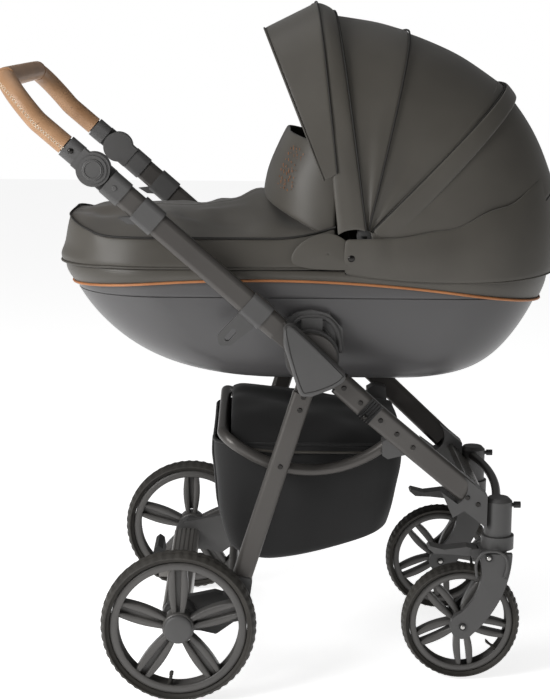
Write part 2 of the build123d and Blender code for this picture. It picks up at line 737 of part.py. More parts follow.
def hood_rear():
    """Fixed rear panel and the skirt that joins it to the tub's band."""
    panel = hood_panel(*REAR_PANEL)
    plan = Pos(210, 0) * (RectangleRounded(820, 401, HOOD_CORNER) - RectangleRounded(816, 397, HOOD_CORNER - 2))
    wall = extrude(Plane.XY.offset(701) * plan, amount=160)
    slope = radians(REAR_PANEL[0] + 1)
    keep = across(outline((330, 690), (660, 690), (660, 755 + 360 * sin(slope)), (330, 755 + 30 * sin(slope))), 260)
    return panel + (wall & keep)


def hood_visor():
    panel = hood_panel(*VISOR_PANEL)
    keep = across(outline((112, 1094), (236, 1170), (268, 1118), (214, 850), (204, 850)), 260)
    return panel & keep


def hood_pivot():
    """Bracket on the rim with the pin that the bows turn on."""
    shape = outline((272, 705), (328, 705), (314, 766), (300, 772), (286, 766))
    foot = slab(Pos(300, 694) * Rectangle(70, 24), 189, 196.5)
    plate = slab(shape, 189, 197.5)
    return plate + foot + disc(APEX, PIVOT_PIN, 190, 214.5) - lofted(BAND_LEVELS) + disc(APEX, 12, 212.2, 214.5)


# ---------------------------------------------------------------- write every piece

NODES = {
    "front_crossbar": front_crossbar,
    "front_step_bar": front_step_bar,
    "hub_plates": lambda: pair(hub_plate()),
    "hub_covers": lambda: pair(hub_cover()),
    "chassis_fasteners": chassis_fasteners,
    "basket_hoop": basket_hoop,
    "hoop_sleeves": lambda: pair(hoop_sleeve()),
    "basket_bag": basket_bag,
    "basket_lid": basket_lid,
    "tilt_sleeves": tilt_sleeves,
    "hook_collars": lambda: pair(hook_collar()),
    "handlebar_tube": lambda: swept_ring(handle_path(ARM_START), HANDLE_RADIUS),
    "handle_grip": lambda: swept_ring(handle_path(GRIP_START), GRIP_RADIUS, HANDLE_RADIUS + RUNNING),
    "tilt_arms": lambda: pair(tilt_arm()),
    "rear_crossbar": rear_crossbar,
    "rear_brackets": rear_brackets,
    "rear_rivets": rear_rivets,
    "axle_beam": axle_beam,
    "axle_arms": lambda: pair(axle_arm()),
    "axle_rod": axle_rod,
    "brake_pedal": brake_pedal,
    "cot_shell": cot_shell,
    "cot_band": cot_band,
    "cot_adapters": lambda: pair(cot_adapter()),
    "mattress": mattress,
    "boot_cover": boot_cover,
    "wind_flap": wind_flap,
    "hood_pivots": lambda: pair(hood_pivot()),
    "hood_rear": hood_rear,
    "hood_middle": lambda: hood_panel(*MIDDLE_PANEL),
    "hood_front": lambda: hood_panel(*FRONT_PANEL),
    "hood_visor": hood_visor,
}

SIDE_NODES = {
    "front_leg": front_leg,
    "front_yoke": front_yoke,
    "release_pin": release_pin,
    "handle_tube": handle_tube,
    "fold_latch": fold_latch,
    "tilt_button": tilt_button,
    "rear_leg": rear_leg,
    "rear_wheel_rim": rear_wheel_rim,
    "rear_wheel_tyre": rear_wheel_tyre,
    "front_wheel_rim": front_wheel_rim,
    "front_wheel_tyre": front_wheel_tyre,
    "castor_body": castor_body,
    "fork": fork,
    "lock_lever": lock_lever,
}


def write(piece, name):
    solids = [solid.moved(Location((-CENTRE_X, 0, 0))) for solid in piece.solids()]
    shape = solids[0] if len(solids) == 1 else Compound(children=solids)
    export_step(shape, f"parts/{name}.step")


os.makedirs("parts", exist_ok=True)
for name, build in NODES.items():
    write(build(), name)
for name, build in SIDE_NODES.items():
    right_piece = build()
    write(right_piece, f"{name}_right")
    write(left(right_piece), f"{name}_left")
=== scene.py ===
import json
import math
import random

import bpy
from mathutils import Matrix, Vector, noise


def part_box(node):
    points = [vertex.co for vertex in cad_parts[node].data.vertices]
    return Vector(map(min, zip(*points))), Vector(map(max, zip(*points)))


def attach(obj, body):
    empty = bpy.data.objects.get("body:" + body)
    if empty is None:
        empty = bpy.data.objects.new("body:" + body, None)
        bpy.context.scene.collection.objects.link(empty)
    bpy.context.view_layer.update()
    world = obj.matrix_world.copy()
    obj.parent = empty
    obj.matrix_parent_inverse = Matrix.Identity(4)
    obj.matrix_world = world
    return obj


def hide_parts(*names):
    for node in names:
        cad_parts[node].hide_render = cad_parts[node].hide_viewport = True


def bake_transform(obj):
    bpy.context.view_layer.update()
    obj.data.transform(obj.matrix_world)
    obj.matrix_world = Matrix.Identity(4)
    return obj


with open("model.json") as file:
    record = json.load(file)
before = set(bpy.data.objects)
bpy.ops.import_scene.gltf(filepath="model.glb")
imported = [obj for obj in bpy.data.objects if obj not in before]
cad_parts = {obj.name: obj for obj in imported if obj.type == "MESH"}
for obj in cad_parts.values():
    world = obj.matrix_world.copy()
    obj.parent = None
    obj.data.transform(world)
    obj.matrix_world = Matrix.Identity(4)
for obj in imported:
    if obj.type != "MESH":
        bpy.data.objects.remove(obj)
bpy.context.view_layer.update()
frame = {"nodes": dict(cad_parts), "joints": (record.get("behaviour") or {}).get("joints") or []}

ACROSS = Vector((0, 1, 0))
SIDES = {"right": -1, "left": 1}


def joint_place(name):
    """Where a hinge of the stroller turns, in metres."""
    joint = next(j for j in frame["joints"] if j["name"] == name)
    return Vector(joint["pos_m"])


HOOD_PIVOT = joint_place("hood_middle_fold")
TILT_PIVOT = joint_place("handle_tilt")
FOLD_PIVOT = joint_place("frame_fold")


# ---------------------------------------------------------------- finishes

def node_group(name, inputs, outputs):
    """Empty effect group with named float sockets."""
    group = bpy.data.node_groups.new(name, "ShaderNodeTree")
    for label, value in inputs:
        socket = group.interface.new_socket(label, in_out="INPUT", socket_type="NodeSocketFloat")
        socket.default_value = value
    for label in outputs:
        group.interface.new_socket(label, in_out="OUTPUT", socket_type="NodeSocketFloat")
    entry = group.nodes.new("NodeGroupInput")
    leave = group.nodes.new("NodeGroupOutput")
    return group, entry, leave


def place_texture(group, kind, scale_from, **settings):
    """Texture that reads object coordinates, at a scale from the group's own input."""
    where = group.nodes.new("ShaderNodeTexCoord")
    texture = group.nodes.new(kind)
    for key, value in settings.items():
        if key in texture.inputs:
            texture.inputs[key].default_value = value
        else:
            setattr(texture, key, value)
    group.links.new(where.outputs["Object"], texture.inputs["Vector"])
    group.links.new(scale_from, texture.inputs["Scale"])
    return texture


def math_node(group, operation, first, second):
    node = group.nodes.new("ShaderNodeMath")
    node.operation = operation
    for socket, value in zip(node.inputs, (first, second)):
        if isinstance(value, (int, float)):
            socket.default_value = value
        else:
            group.links.new(value, socket)
    return node.outputs[0]


def grain_group():
    """Pebbled grain: fine cells for height, soft clouds for tone."""
    group, entry, leave = node_group("grain", [("Scale", 900.0), ("Cloud Scale", 9.0)], ["Height", "Tone"])
    cells = place_texture(group, "ShaderNodeTexVoronoi", entry.outputs["Scale"], feature="SMOOTH_F1")
    pores = place_texture(group, "ShaderNodeTexNoise", entry.outputs["Scale"], Detail=3.0, Roughness=0.6)
    clouds = place_texture(
        group, "ShaderNodeTexNoise", entry.outputs["Cloud Scale"], Detail=4.0, Roughness=0.55,
    )
    height = math_node(group, "ADD", cells.outputs["Distance"], pores.outputs[0])
    group.links.new(height, leave.inputs["Height"])
    group.links.new(clouds.outputs[0], leave.inputs["Tone"])
    return group


def weave_group():
    """Two crossing sets of threads."""
    group, entry, leave = node_group("weave", [("Scale", 260.0), ("Cloud Scale", 12.0)], ["Height", "Tone"])
    threads = []
    for direction in ("X", "Z"):
        thread = place_texture(
            group, "ShaderNodeTexWave", entry.outputs["Scale"], bands_direction=direction, Distortion=0.35,
        )
        threads.append(thread.outputs["Fac"])
    clouds = place_texture(group, "ShaderNodeTexNoise", entry.outputs["Cloud Scale"], Detail=5.0)
    group.links.new(math_node(group, "MAXIMUM", *threads), leave.inputs["Height"])
    group.links.new(clouds.outputs[0], leave.inputs["Tone"])
    return group


def brushed_group():
    """Long fine draw marks along the tube, for satin metal."""
    scales = [("Scale", 500.0), ("Cloud Scale", 6.0)]
    group, entry, leave = node_group("drawn_marks", scales, ["Height", "Tone"])
    where = group.nodes.new("ShaderNodeTexCoord")
    stretch = group.nodes.new("ShaderNodeMapping")
    stretch.inputs["Scale"].default_value = (1.0, 0.12, 0.35)
    marks = group.nodes.new("ShaderNodeTexNoise")
    marks.inputs["Detail"].default_value = 4.0
    group.links.new(where.outputs["Object"], stretch.inputs["Vector"])
    group.links.new(stretch.outputs["Vector"], marks.inputs["Vector"])
    group.links.new(entry.outputs["Scale"], marks.inputs["Scale"])
    clouds = place_texture(group, "ShaderNodeTexNoise", entry.outputs["Cloud Scale"], Detail=3.0)
    group.links.new(marks.outputs[0], leave.inputs["Height"])
    group.links.new(clouds.outputs[0], leave.inputs["Tone"])
    return group


GROUPS = {"grain": grain_group(), "weave": weave_group(), "drawn": brushed_group()}


def finish(name, effect, dark, light, rough, scale, cloud=9.0, relief=0.12, depth=0.0003, metallic=0.0,
           sheen=0.0, coat=0.0):
    """Material whose tone, roughness and relief all vary over the surface."""
    material = bpy.data.materials.new(name)
    material.use_nodes = True
    tree = material.node_tree
    shader = tree.nodes["Principled BSDF"]
    surface = tree.nodes.new("ShaderNodeGroup")
    surface.node_tree = GROUPS[effect]
    surface.inputs["Scale"].default_value = scale
    surface.inputs["Cloud Scale"].default_value = cloud
    colours = tree.nodes.new("ShaderNodeValToRGB")
    colours.color_ramp.elements[0].position = 0.3
    colours.color_ramp.elements[1].position = 0.7
    colours.color_ramp.elements[0].color = (*dark, 1)
    colours.color_ramp.elements[1].color = (*light, 1)
    tree.links.new(surface.outputs["Tone"], colours.inputs["Fac"])
    tree.links.new(colours.outputs["Color"], shader.inputs["Base Color"])
    roughness = tree.nodes.new("ShaderNodeMapRange")
    roughness.inputs["To Min"].default_value = rough[0]
    roughness.inputs["To Max"].default_value = rough[1]
    tree.links.new(surface.outputs["Tone"], roughness.inputs["Value"])
    tree.links.new(roughness.outputs["Result"], shader.inputs["Roughness"])
    bump = tree.nodes.new("ShaderNodeBump")
    bump.inputs["Strength"].default_value = relief
    bump.inputs["Distance"].default_value = depth
    tree.links.new(surface.outputs["Height"], bump.inputs["Height"])
    tree.links.new(bump.outputs["Normal"], shader.inputs["Normal"])
    shader.inputs["Metallic"].default_value = metallic
    shader.inputs["Sheen Weight"].default_value = sheen
    shader.inputs["Coat Weight"].default_value = coat
    shader.inputs["Specular IOR Level"].default_value = 0.4
    return material


FINISH = {
    "leatherette": finish("taupe_leatherette", "grain", (0.052, 0.047, 0.039), (0.068, 0.062, 0.052),
                          (0.42, 0.56), 1300, 7.0, 0.18, sheen=0.12),
    # seam: near-black, painted shade in the creases along seams, edges and grooves
    "seam": finish("seam_crease_shade", "grain", (0.008, 0.007, 0.006), (0.014, 0.013, 0.011), (0.6, 0.75), 2400),
    "bound_edge": finish("rolled_taupe_edge", "grain", (0.040, 0.036, 0.030), (0.056, 0.051, 0.043),
                         (0.45, 0.6), 2000, 14.0),
    "shell": finish("satin_shell", "grain", (0.066, 0.064, 0.065), (0.076, 0.074, 0.075),
                    (0.30, 0.38), 2200, 3.0, 0.05),
    "tube": finish("powder_coated_tube", "drawn", (0.062, 0.057, 0.053), (0.078, 0.073, 0.068),
                   (0.30, 0.42), 420, 5.0, 0.08, metallic=0.35),
    "ribbed": finish("bare_ribbed_metal", "drawn", (0.20, 0.19, 0.18), (0.27, 0.26, 0.245),
                     (0.28, 0.42), 300, 6.0, 0.2, metallic=0.6),
    "plastic": finish("moulded_grey", "grain", (0.060, 0.059, 0.058), (0.076, 0.074, 0.073),
                      (0.40, 0.52), 1500, 8.0, 0.16),
    "wheel": finish("wheel_grey", "grain", (0.066, 0.063, 0.060), (0.084, 0.080, 0.076),
                    (0.33, 0.45), 1700, 7.0, 0.1),
    "black": finish("moulded_black", "grain", (0.013, 0.013, 0.013), (0.022, 0.022, 0.022),
                    (0.4, 0.55), 1500),
    "rubber": finish("tyre_rubber", "grain", (0.025, 0.023, 0.020), (0.046, 0.042, 0.036),
                     (0.55, 0.72), 1100, 16.0, 0.25),
    "basket": finish("black_weave", "weave", (0.004, 0.004, 0.004), (0.0075, 0.007, 0.007),
                     (0.68, 0.85), 420, 11.0, 0.3, sheen=0.08),
    "lining": finish("pale_lining", "weave", (0.42, 0.40, 0.36), (0.52, 0.50, 0.46),
                     (0.75, 0.9), 520, 10.0, 0.2, sheen=0.2),
    "tan": finish("tan_leather", "grain", (0.255, 0.135, 0.064), (0.375, 0.215, 0.115),
                  (0.38, 0.52), 950, 18.0, 0.3, sheen=0.05),
    "thread": finish("pale_thread", "weave", (0.50, 0.42, 0.32), (0.62, 0.53, 0.42), (0.6, 0.75), 3000, 40.0),
    "tan_cord": finish("tan_piping", "grain", (0.30, 0.115, 0.042), (0.40, 0.165, 0.062),
                       (0.42, 0.55), 1800, 25.0),
    "rivet": finish("black_nickel", "grain", (0.025, 0.024, 0.023), (0.04, 0.038, 0.036),
                    (0.16, 0.26), 900, 30.0, 0.03, metallic=0.9),
    "screw": finish("zinc_screw", "drawn", (0.42, 0.41, 0.40), (0.55, 0.54, 0.52),
                    (0.22, 0.34), 900, 30.0, 0.1, metallic=0.95),
}

CAD_FINISH = {
    "tube": ["front_leg", "handle_tube", "rear_leg", "front_crossbar", "handlebar_tube", "basket_hoop",
             "rear_crossbar"],
    "ribbed": ["front_step_bar", "axle_beam"],
    "plastic": ["hub_plates", "hub_covers", "tilt_sleeves", "hook_collars", "fold_latch", "tilt_arms",
                "tilt_button", "rear_brackets", "axle_arms", "front_yoke", "castor_body", "lock_lever",
                "fork", "hoop_sleeves", "cot_adapters", "hood_pivots"],
    "black": ["brake_pedal", "release_pin"],
    "rivet": ["chassis_fasteners", "rear_rivets"],
    "screw": ["axle_rod"],
    "shell": ["cot_shell"],
    "wheel": ["rear_wheel_rim", "front_wheel_rim"],
    "rubber": ["rear_wheel_tyre", "front_wheel_tyre"],
    "leatherette": ["cot_band", "boot_cover", "wind_flap", "hood_rear", "hood_middle", "hood_front",
                    "hood_visor"],
    "basket": ["basket_bag", "basket_lid"],
    "lining": ["mattress"],
    "tan": ["handle_grip"],
}


def paint(piece, *names):
    piece.data.materials.clear()
    for name in names:
        piece.data.materials.append(FINISH[name])


for look, stems in CAD_FINISH.items():
    for node_name, node in frame["nodes"].items():
        stem = node_name.removesuffix("_right").removesuffix("_left")
        if stem in stems:
            paint(node, look)


# ---------------------------------------------------------------- making pieces

def ease(t):
    """0 to 1 with a soft start and end."""
    return t * t * (3 - 2 * t)


def between(stations, where, eased=True):
    """Value at a place along (place, value) stations."""
    for (a, low), (b, high) in zip(stations, stations[1:]):
        if where <= b:
            t = min(1, max(0, (where - a) / (b - a)))
            return low + (high - low) * (ease(t) if eased else t)
    return stations[-1][1]


def signed_power(value, power):
    """Power that keeps the sign, for squarish rounds."""
    return math.copysign(abs(value) ** power, value)


def shade_smooth(piece):
    for polygon in piece.data.polygons:
        polygon.use_smooth = True


def grid_faces(rows, wide, closed=False):
    """Four-sided faces between neighbouring rows of points."""
    last = wide if closed else wide - 1
    return [
        (r * wide + c, r * wide + (c + 1) % wide, (r + 1) * wide + (c + 1) % wide, (r + 1) * wide + c)
        for r in range(rows - 1)
        for c in range(last)
    ]


def new_piece(name, points, faces, *looks):
    mesh = bpy.data.meshes.new(name)
    mesh.from_pydata([tuple(p) for p in points], [], faces)
    mesh.validate()
    mesh.update()
    piece = bpy.data.objects.new(name, mesh)
    bpy.context.scene.collection.objects.link(piece)
    paint(piece, *looks)
    shade_smooth(piece)
    return piece


def apply_modifiers(piece):
    bpy.context.view_layer.update()
    graph = bpy.context.evaluated_depsgraph_get()
    made = bpy.data.meshes.new_from_object(piece.evaluated_get(graph))
    piece.modifiers.clear()
    piece.data = made


def thicken(piece, thickness, subdivisions=1, offset=-1.0):
    solidify = piece.modifiers.new("cloth", "SOLIDIFY")
    solidify.thickness = thickness
    solidify.offset = offset
    soften = piece.modifiers.new("soften", "SUBSURF")
    soften.levels = soften.render_levels = subdivisions
    apply_modifiers(piece)
    shade_smooth(piece)


def cloth_rows(name, rows, look, thickness=0.002, subdivisions=1, closed=False, offset=-1.0):
    """Sheet through rows of points, given some thickness and smoothed."""
    faces = grid_faces(len(rows), len(rows[0]), closed)
    piece = new_piece(name, [p for row in rows for p in row], faces, look)
    thicken(piece, thickness, subdivisions, offset)
    return piece


def smooth_line(points, steps, closed=False):
    """Points along a Catmull-Rom line through the given ones."""
    points = [Vector(p) for p in points]
    count = len(points)
    made = []
    for i in range(count if closed else count - 1):
        if closed:
            a, b, c, d = (points[(i + k) % count] for k in (-1, 0, 1, 2))
        else:
            a, b, c, d = (points[min(max(i + k, 0), count - 1)] for k in (-1, 0, 1, 2))
        for step in range(steps):
            t = step / steps
            bend = (2 * a - 5 * b + 4 * c - d) * t ** 2 + (3 * b - a - 3 * c + d) * t ** 3
            made.append(0.5 * (2 * b + (c - a) * t + bend))
    if not closed:
        made.append(points[-1])
    return made


def cord_faces(points, radius, sides=8, closed=False, flat=1.0):
    """Round or flattened bead along a line, as points and faces."""
    verts, faces = [], []
    count = len(points)
    normal = None
    for i, point in enumerate(points):
        before = points[i - 1] if (closed or i) else points[0]
        after = points[(i + 1) % count] if (closed or i < count - 1) else points[-1]
        heading = (after - before).normalized()
        if normal is None:
            normal = heading.orthogonal().normalized()
        normal = (normal - heading * normal.dot(heading)).normalized()
        other = heading.cross(normal)
        for k in range(sides):
            turn = 2 * math.pi * k / sides
            verts.append(point + normal * radius * math.cos(turn) + other * radius * flat * math.sin(turn))
    rings = count if closed else count - 1
    for i in range(rings):
        for k in range(sides):
            j = (i + 1) % count
            after = (k + 1) % sides
            faces.append((i * sides + k, j * sides + k, j * sides + after, i * sides + after))
    if not closed:
        faces.append(tuple(reversed(range(sides))))
        faces.append(tuple((count - 1) * sides + k for k in range(sides)))
    return verts, faces


def bead(name, points, radius, look, closed=False, sides=8, flat=1.0):
    verts, faces = cord_faces(points, radius, sides, closed, flat)
    return new_piece(name, verts, faces, look)


def join_shapes(name, shapes, look):
    """One piece from several point-and-face shapes."""
    verts, faces = [], []
    for points, sides in shapes:
        start = len(verts)
        verts.extend(points)
        faces.extend(tuple(start + i for i in side) for side in sides)
    return new_piece(name, verts, faces, look)


def lathe(centre, profile, steps, axis=ACROSS, wave=None):
    """Turned shape about an axis; profile points are (radius, place along the axis)."""
    side = Vector((0, 0, 1)) if abs(axis.z) < 0.9 else Vector((1, 0, 0))
    other = axis.cross(side)
    verts, faces = [], []
    wide = len(profile)
    for i in range(steps):
        turn = 2 * math.pi * i / steps
        outward = side * math.cos(turn) + other * math.sin(turn)
        for k, (radius, place) in enumerate(profile):
            verts.append(centre + outward * (radius + (wave(i, k) if wave else 0)) + axis * place)
    for i in range(steps):
        j = (i + 1) % steps
        for k in range(wide - 1):
            faces.append((i * wide + k, i * wide + k + 1, j * wide + k + 1, j * wide + k))
    return verts, faces


def dome(centre, axis, radius, height, steps=20):
    """Domed head with a closed crown."""
    profile = [(radius, -0.3 * height), (radius, 0.15 * height), (0.92 * radius, 0.5 * height),
               (0.7 * radius, 0.82 * height), (0.36 * radius, 0.97 * height), (0.02 * radius, height)]
    return lathe(centre, profile, steps, axis)


def fabric_lie(point, size, height, seed):
    """Height of soft broad folds at a place."""
    return height * noise.noise(Vector(point) / size + Vector((seed, 0, 0)))


# ---------------------------------------------------------------- carrycot's hood

HOOD_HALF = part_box("hood_rear")[1].y
TUB_CORNER = 0.145
BOW_STEPS = 56
# Bows and edges of the hood: degrees above the front of the carrycot, and reach from the pivot
BROW_REAR = (98.0, 0.360)
UNDER_BROW = (101.0, 0.359)
MIDDLE_BOW = (77.5, 0.334)
UNDER_MIDDLE = (80.0, 0.3325)
REAR_BOW = (45.5, 0.334)
FLAP_REACH = 0.331


def bow_point(angle, reach, share, half=HOOD_HALF, rise=0.0):
    """Place on a bow: share 0 at the right-hand pivot, 0.5 at the crown, 1 at the left."""
    turn = math.pi * share
    squareness = 2 / 3.3
    sideways = -signed_power(math.cos(turn), squareness) * half
    out = abs(math.sin(turn)) ** squareness * reach + rise
    a = math.radians(angle)
    return HOOD_PIVOT + Vector((out * math.cos(a), sideways, out * math.sin(a)))


def bow_share(i, start=0.0):
    """Shares closer together at the feet, so that the fabric runs right down to the pivot."""
    return start + (1 - 2 * start) * (1 - math.cos(math.pi * i / BOW_STEPS)) / 2


def bow_line(bow, half=HOOD_HALF, rise=0.0, start=0.0):
    return [bow_point(*bow, bow_share(i, start), half, rise) for i in range(BOW_STEPS + 1)]


def stretched_panel(name, low, high, half_low, half_high, puff, rows=12, start=0.0008):
    """Fabric drawn from one bow to the next, with a slight belly and drag lines at its foot."""
    first = bow_line(low, half_low, 0, start)
    last = bow_line(high, half_high, 0, start)
    made = []
    for r in range(rows + 1):
        t = r / rows
        row = []
        for c in range(BOW_STEPS + 1):
            share = bow_share(c, start)
            point = first[c].lerp(last[c], t)
            outward = (point - HOOD_PIVOT)
            outward = Vector((outward.x, outward.y * 0.5, outward.z)).normalized()
            slack = math.sin(math.pi * t)
            belly = puff * slack * max(0, math.sin(math.pi * share)) ** 0.6
            side = Vector((0, math.copysign(1, point.y), 0))
            foot = max(0, 1 - abs(math.sin(math.pi * share)) * 1.6)
            drag = 0.0022 * foot * math.sin(t * 9) * slack
            lie = fabric_lie(point, 0.09, 0.0035, low[0]) * slack * min(1, up_the_side(share) * 2)
            row.append(point + outward * (belly + lie) + side * (drag - 0.004 * slack * (1 - foot)))
        made.append(row)
    return cloth_rows(name, made, "leatherette", 0.0018)


def blended(piece):
    """Bakes the panel's placement into its points."""
    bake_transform(piece)


def hood():
    front_half, middle_half, rear_half = 0.2115, 0.2082, 0.2025
    brow_panel = stretched_panel(
        "hood_panel_front", MIDDLE_BOW, UNDER_BROW, middle_half, front_half - 0.002, 0.003,
    )
    crown_panel = stretched_panel(
        "hood_panel_crown", REAR_BOW, UNDER_MIDDLE, rear_half, middle_half - 0.0015, 0.010,
    )
    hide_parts("hood_middle")
    blended(brow_panel)
    blended(crown_panel)
    front_brow(front_half)
    visor(front_half)
    rear_panel(rear_half)
    bow_seams(front_half, middle_half, rear_half)
    hood_hinges()


def ahead_of_brow(share, half, distance, lift=0.0):
    """Place in front of the front bow, square to it."""
    a = math.radians(BROW_REAR[0])
    ahead = Vector((-math.sin(a), 0, math.cos(a)))
    return bow_point(*BROW_REAR, share, half, lift) + ahead * distance


def up_the_side(share):
    """0 at the pivot and 1 over the whole crown."""
    return abs(math.sin(math.pi * share)) ** 0.606


def brow_width(share):
    return 0.047 - 0.010 * up_the_side(share)


def front_brow(half):
    """Padded roll that covers the front bow, as wide at its foot as at the crown."""
    rows = []
    steps = 9
    for r in range(steps + 1):
        t = r / steps
        swell = max(0, math.sin(math.pi * t)) ** 0.6
        row = []
        for c in range(BOW_STEPS + 1):
            share = bow_share(c, 0.0006)
            crease = fabric_lie((share * 8, t, 0), 0.35, 0.0018, 3) * (1 - up_the_side(share))
            lift = 0.007 * swell + 0.017 * t * up_the_side(share)
            row.append(ahead_of_brow(share, half + 0.004 * swell + crease, brow_width(share) * t, lift))
        rows.append(row)
    roll = cloth_rows("hood_brow", rows, "leatherette", 0.003)
    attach(roll, "hood_front")
    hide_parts("hood_front")


def visor(half):
    """Peak in front of the brow: narrow low on the sides and deep over the crown."""
    rows = []
    steps = 8
    start = 0.040
    for r in range(steps + 1):
        t = r / steps
        row = []
        for c in range(BOW_STEPS + 1):
            share = bow_share(c, start)
            height = up_the_side(share)
            deep = 0.016 + 0.070 * max(0, height - 0.28) / 0.72
            lift = 0.019 * height * (1 - t) - 0.012 * t * height
            ahead = brow_width(share) - 0.009 + (deep + 0.006) * t
            row.append(ahead_of_brow(share, half + 0.0045 - 0.002 * t, ahead, lift))
        rows.append(row)
    peak = cloth_rows("hood_peak", rows, "leatherette", 0.0022)
    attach(peak, "hood_front")
    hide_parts("hood_visor")
    edge = bead("hood_peak_edge", rows[-1], 0.0016, "bound_edge")
    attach(edge, "hood_front")
    # Near-black bead where the peak meets the brow roll: painted shade in the crease under the roll.
    seam_line = [p + (p - HOOD_PIVOT).normalized() * 0.001 for p in rows[0]]
    seam = bead("hood_peak_seam", seam_line, 0.0014, "seam")
    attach(seam, "hood_front")


# Lower edge of the rear flap at the side: share of the reach from the pivot, and degrees above level
FLAP_EDGE = [(0.0, -30), (0.08, -16), (0.17, -3), (0.27, -7), (0.36, -9), (0.52, -2), (0.69, 5), (0.88, 10),
             (1.0, 13)]


def rear_edge_point(share, half):
    """The flap's lower edge dips beside the pivot and rises to the back."""
    return bow_point(between(FLAP_EDGE, up_the_side(share)), FLAP_REACH, share, half)


def rear_panel(half):
    """Strip over the zip, the rear flap below it, and the skirt that goes down to the tub's band."""
    zip_rows = []
    for r in range(5):
        t = r / 4
        row = []
        for c in range(BOW_STEPS + 1):
            share = bow_share(c, 0.0008)
            on_bow = bow_point(*REAR_BOW, share, half + 0.003, 0.004)
            a = math.radians(REAR_BOW[0])
            back = Vector((math.sin(a), 0, -math.cos(a)))
            wide = 0.038 - 0.012 * up_the_side(share)
            row.append(on_bow + back * wide * t - (on_bow - HOOD_PIVOT).normalized() * 0.003 * t * t)
        zip_rows.append(row)
    strip = cloth_rows("hood_zip_cover", zip_rows, "leatherette", 0.0028)
    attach(strip, "carrycot")
    rows = []
    for r in range(15):
        t = r / 14
        row = []
        for c in range(BOW_STEPS + 1):
            share = bow_share(c, 0.0008)
            top = bow_point(REAR_BOW[0] + 2.5, REAR_BOW[1] - 0.003, share, half - 0.0015)
            low = rear_edge_point(share, half + 0.002)
            point = top.lerp(low, t)
            outward = (point - HOOD_PIVOT).normalized()
            slack = math.sin(math.pi * t)
            swell = 0.012 * slack * math.sin(math.pi * share)
            row.append(point + outward * (swell + fabric_lie(point, 0.11, 0.004, 7) * slack))
        rows.append(row)
    flap = cloth_rows("hood_rear_flap", rows, "leatherette", 0.002)
    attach(flap, "carrycot")
    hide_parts("hood_rear")
    # Near-black bead just under the flap's lower edge: painted shadow cast by the overhanging flap.
    edge = bead("hood_rear_edge_shade", [p + Vector((0, 0, -0.001)) for p in rows[-1]], 0.002, "seam")
    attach(edge, "carrycot")
    hood_skirt(half)


def rounded_plan(rear, front, half, corner, height, arc_steps, count):
    """Rectangle with round corners at a height, as evenly spaced points."""
    outline = []
    centres = [(front - corner, -half + corner, -90), (front - corner, half - corner, 0),
               (rear + corner, half - corner, 90), (rear + corner, -half + corner, 180)]
    for cx, cy, first in centres:
        for k in range(arc_steps + 1):
            a = math.radians(first + 90 * k / arc_steps)
            outline.append(Vector((cx + corner * math.cos(a), cy + corner * math.sin(a), height)))
    return evenly(outline, count)


def tub_ring(height, grow=0.0, steps=96):
    """Plan of the tub's band at a height; the band narrows downward."""
    low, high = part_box("cot_band")
    narrowing = 1 - (height - low.z) / (high.z - low.z)
    rear = low.x + 0.019 * narrowing - grow
    front = high.x - 0.011 * narrowing + grow
    half = high.y - 0.003 * narrowing + grow
    return rounded_plan(rear, front, half, TUB_CORNER + grow, height, 12, steps)


def evenly(points, steps):
    """The same closed line with evenly spaced points."""
    loop = points + [points[0]]
    lengths = [0.0]
    for a, b in zip(loop, loop[1:]):
        lengths.append(lengths[-1] + (b - a).length)
    made = []
    k = 0
    for i in range(steps):
        want = lengths[-1] * i / steps
        while lengths[k + 1] < want:
            k += 1
        span = lengths[k + 1] - lengths[k]
        made.append(loop[k].lerp(loop[k + 1], (want - lengths[k]) / span if span else 0))
    return made


# Top of the skirt above the pivot, against the share of the way to the head end
SKIRT_TOP = [(0.0, -0.003), (0.22, -0.001), (0.45, 0.012), (0.72, 0.048), (1.0, 0.100)]


def hood_skirt(half):
    """Wall of fabric round the head end, from under the flap to below the tub's rim."""
    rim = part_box("cot_band")[1].z
    plan = []
    corner = 0.135
    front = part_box("cot_band")[1].x + 0.010
    start = HOOD_PIVOT.x - 0.034
    for k in range(17):
        plan.append(Vector((start + (front - corner - start) * k / 16, -half, 0)))
    for k in range(1, 13):
        a = math.radians(-90 + 90 * k / 12)
        along, aside = front - corner + corner * math.cos(a), -half + corner + corner * math.sin(a)
        plan.append(Vector((along, aside, 0)))
    plan += [Vector((p.x, -p.y, 0)) for p in reversed(plan)]
    rows = []
    for r in range(9):
        t = r / 8
        row = []
        for p in plan:
            away = max(0, (p.x - start) / (front - start))
            top = HOOD_PIVOT.z + between(SKIRT_TOP, away)
            hem = rim - 0.006 - 0.014 * max(0, math.sin(math.pi * min(1, away))) ** 0.8
            z = top + (hem - top) * t
            bow = 0.004 * math.sin(math.pi * t) + fabric_lie((p.x, p.y, z), 0.08, 0.003, 11) * t
            lean = -0.036 * (1 - t) ** 1.5 * max(0, away - 0.3)
            out = Vector((p.x - (HOOD_PIVOT.x + 0.1), p.y, 0)).normalized()
            past_feet = ease(min(1, max(0, (away - 0.15) / 0.09)))
            over_feet = (0.0085 - 0.012 * past_feet) * (1 - t)
            sideways = Vector((0, math.copysign(over_feet, p.y), 0))
            row.append(Vector((p.x, p.y, z)) + out * (bow + lean + 0.002) + sideways)
        rows.append(row)
    skirt = cloth_rows("hood_skirt", rows, "leatherette", 0.002)
    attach(skirt, "carrycot")
    hem = bead("hood_skirt_hem", rows[-1], 0.0018, "bound_edge")
    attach(hem, "carrycot")


